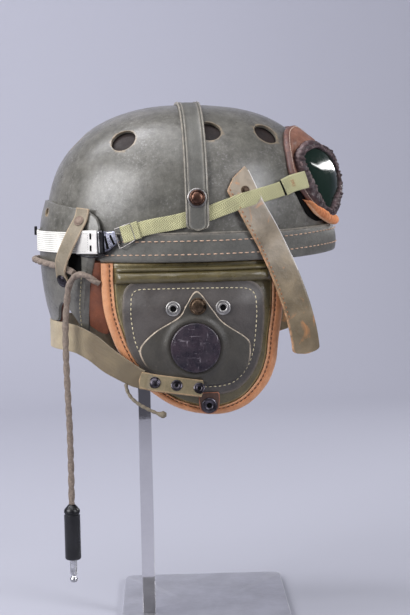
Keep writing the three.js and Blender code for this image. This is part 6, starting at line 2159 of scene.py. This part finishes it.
def plug_profile():
    """The plug's body from its top, with a groove under its shoulder and a rounded foot."""
    r = PLUG_RADIUS
    profile = [(0, 0), (3.2, 0.1), (4.0, 0.8), (5.6, 2.6), (7.1, 4.4), (r, 5.8), (r, 8)]
    profile += [(r - 0.8, 8.6), (r - 0.8, 9.6), (r, 10.2), (r, PLUG_LENGTH - 2.2)]
    return profile + [(r - 2.2 + c, PLUG_LENGTH - 2.2 + s) for c, s in arc(2.2, 2.2, 0.2, 1, 5)]


def tip_profile():
    """The plug's contact from its top: a sleeve, a neck and a rounded tip."""
    t = TIP_RADIUS
    return [(0, 0), (t * 0.85, 0), (t * 0.85, 13.5), (t * 0.72, 14.7), (t * 0.5, 15.7), (t * 0.62, 16.9),
            (t * 0.95, 18.1), (t, 19.1), (t * 0.9, 20.5), (t * 0.6, 21.9), (0.1, TIP_LENGTH)]


def add_lead():
    lead, line = twisted_cord("lead", LEAD_ROUTE, LEAD_DIAMETER, CORD, ["headset_lead"])
    down = Vector((0, 0, -1))
    plug_top = Vector(LEAD_ROUTE[-1]) + down * GAP
    body = lathe("plug", plug_profile(), plug_top, down, PLUG_PLASTIC, replaces=["plug_body"])
    tip_top = plug_top + down * (PLUG_LENGTH + GAP)
    tip = lathe("plug_contact", tip_profile(), tip_top, down, SILVER, replaces=["plug_tip"])
    length = path_length(line) * MM
    line = [tuple(p * MM) for p in line]
    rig.cord(lead, line[0], length, LEAD_DIAMETER * MM, far_end="plug",
            stiffness="medium", lay="hanging", path=line, with_pieces=[body, tip])
    twisted_cord("branch", BRANCH_ROUTE, LEAD_DIAMETER, CORD, ["headset_branch"])


def add_lace():
    path = smooth_path([Vector(p) for p in LACE_ROUTE], 90)

    def section(share, angle):
        knot = math.exp(-((share - 0.93) / 0.05) ** 2)
        return LACE_DIAMETER / 2 * (1.1 + 1.3 * knot + 0.12 * math.sin(share * 60))

    lace = tube("lace", path, section, KHAKI_LEATHER, sides=12, replaces=["flap_lace"])
    line = [tuple(p * MM) for p in path]
    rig.cord(lace, line[0], path_length(path) * MM, LACE_DIAMETER * MM, far_end="knot", stiffness="limp",
            lay="hanging", path=line)


# Stand


def add_stand():
    x, y = PLATE_MIDDLE
    half_x, half_y = PLATE_HALF
    bevelled_box("plate", (x - half_x, y - half_y, 0), (x + half_x, y + half_y, PLATE_WALL), 0.8, PLATE_STEEL,
                 replaces=["stand_plate"], turn=PLATE_TURN, corner=PLATE_CORNER)
    half = POST_WIDTH / 2
    ceiling = settle(Vector((POST_BACK, 0, CROWN_TOP)), -PAD_BELOW_CROWN).z
    bevelled_box("post", (POST_BACK, -half, PLATE_WALL + GAP),
                 (POST_BACK + POST_WIDTH, half, ceiling - PAD_WALL * 0.6), 0.5, MIRROR_STEEL,
                 replaces=["stand_post"])


# Floor and light


def add_room():
    """A pale table that bends up into the wall behind it."""
    places = [(TABLE_FRONT, 0)]
    places += [(TABLE_BACK + ROOM_BEND * math.sin(angle), ROOM_BEND * (1 - math.cos(angle)))
               for angle in span(0, math.pi / 2, 24)]
    places.append((TABLE_BACK + ROOM_BEND, ROOM_HEIGHT))
    points, faces = grid([[Vector((x, y, z)) for x in (-ROOM_SIDE, ROOM_SIDE)] for y, z in places])
    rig.stage(smooth_object("room", points, faces, ROOM))


add_lead()
add_lace()
add_crown()
add_band()
add_neck_guard()
add_crown_strap()
add_nape_strap()
add_elastic()
for side_word, hand in SIDES:
    add_side_strap(side_word, hand)
    add_ear_flap(side_word, hand)
    add_nape_tab(side_word, hand)
    add_guard_strap(side_word, hand)
    add_webbing(side_word, hand)
    add_buckle(side_word, hand)
    add_eyepiece(side_word, hand)
    add_cup_painted_shadow(side_word, hand)
    add_lining_roll(side_word, hand)
add_bridge()
add_rear_clip()
add_stand()
add_room()

for light in LIGHTS:
    add_light(*light)

with open("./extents.json", "w") as file:
    json.dump({"cad": [list(v) for v in cad_bounds], "scene": [list(v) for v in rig.bounds()]}, file)
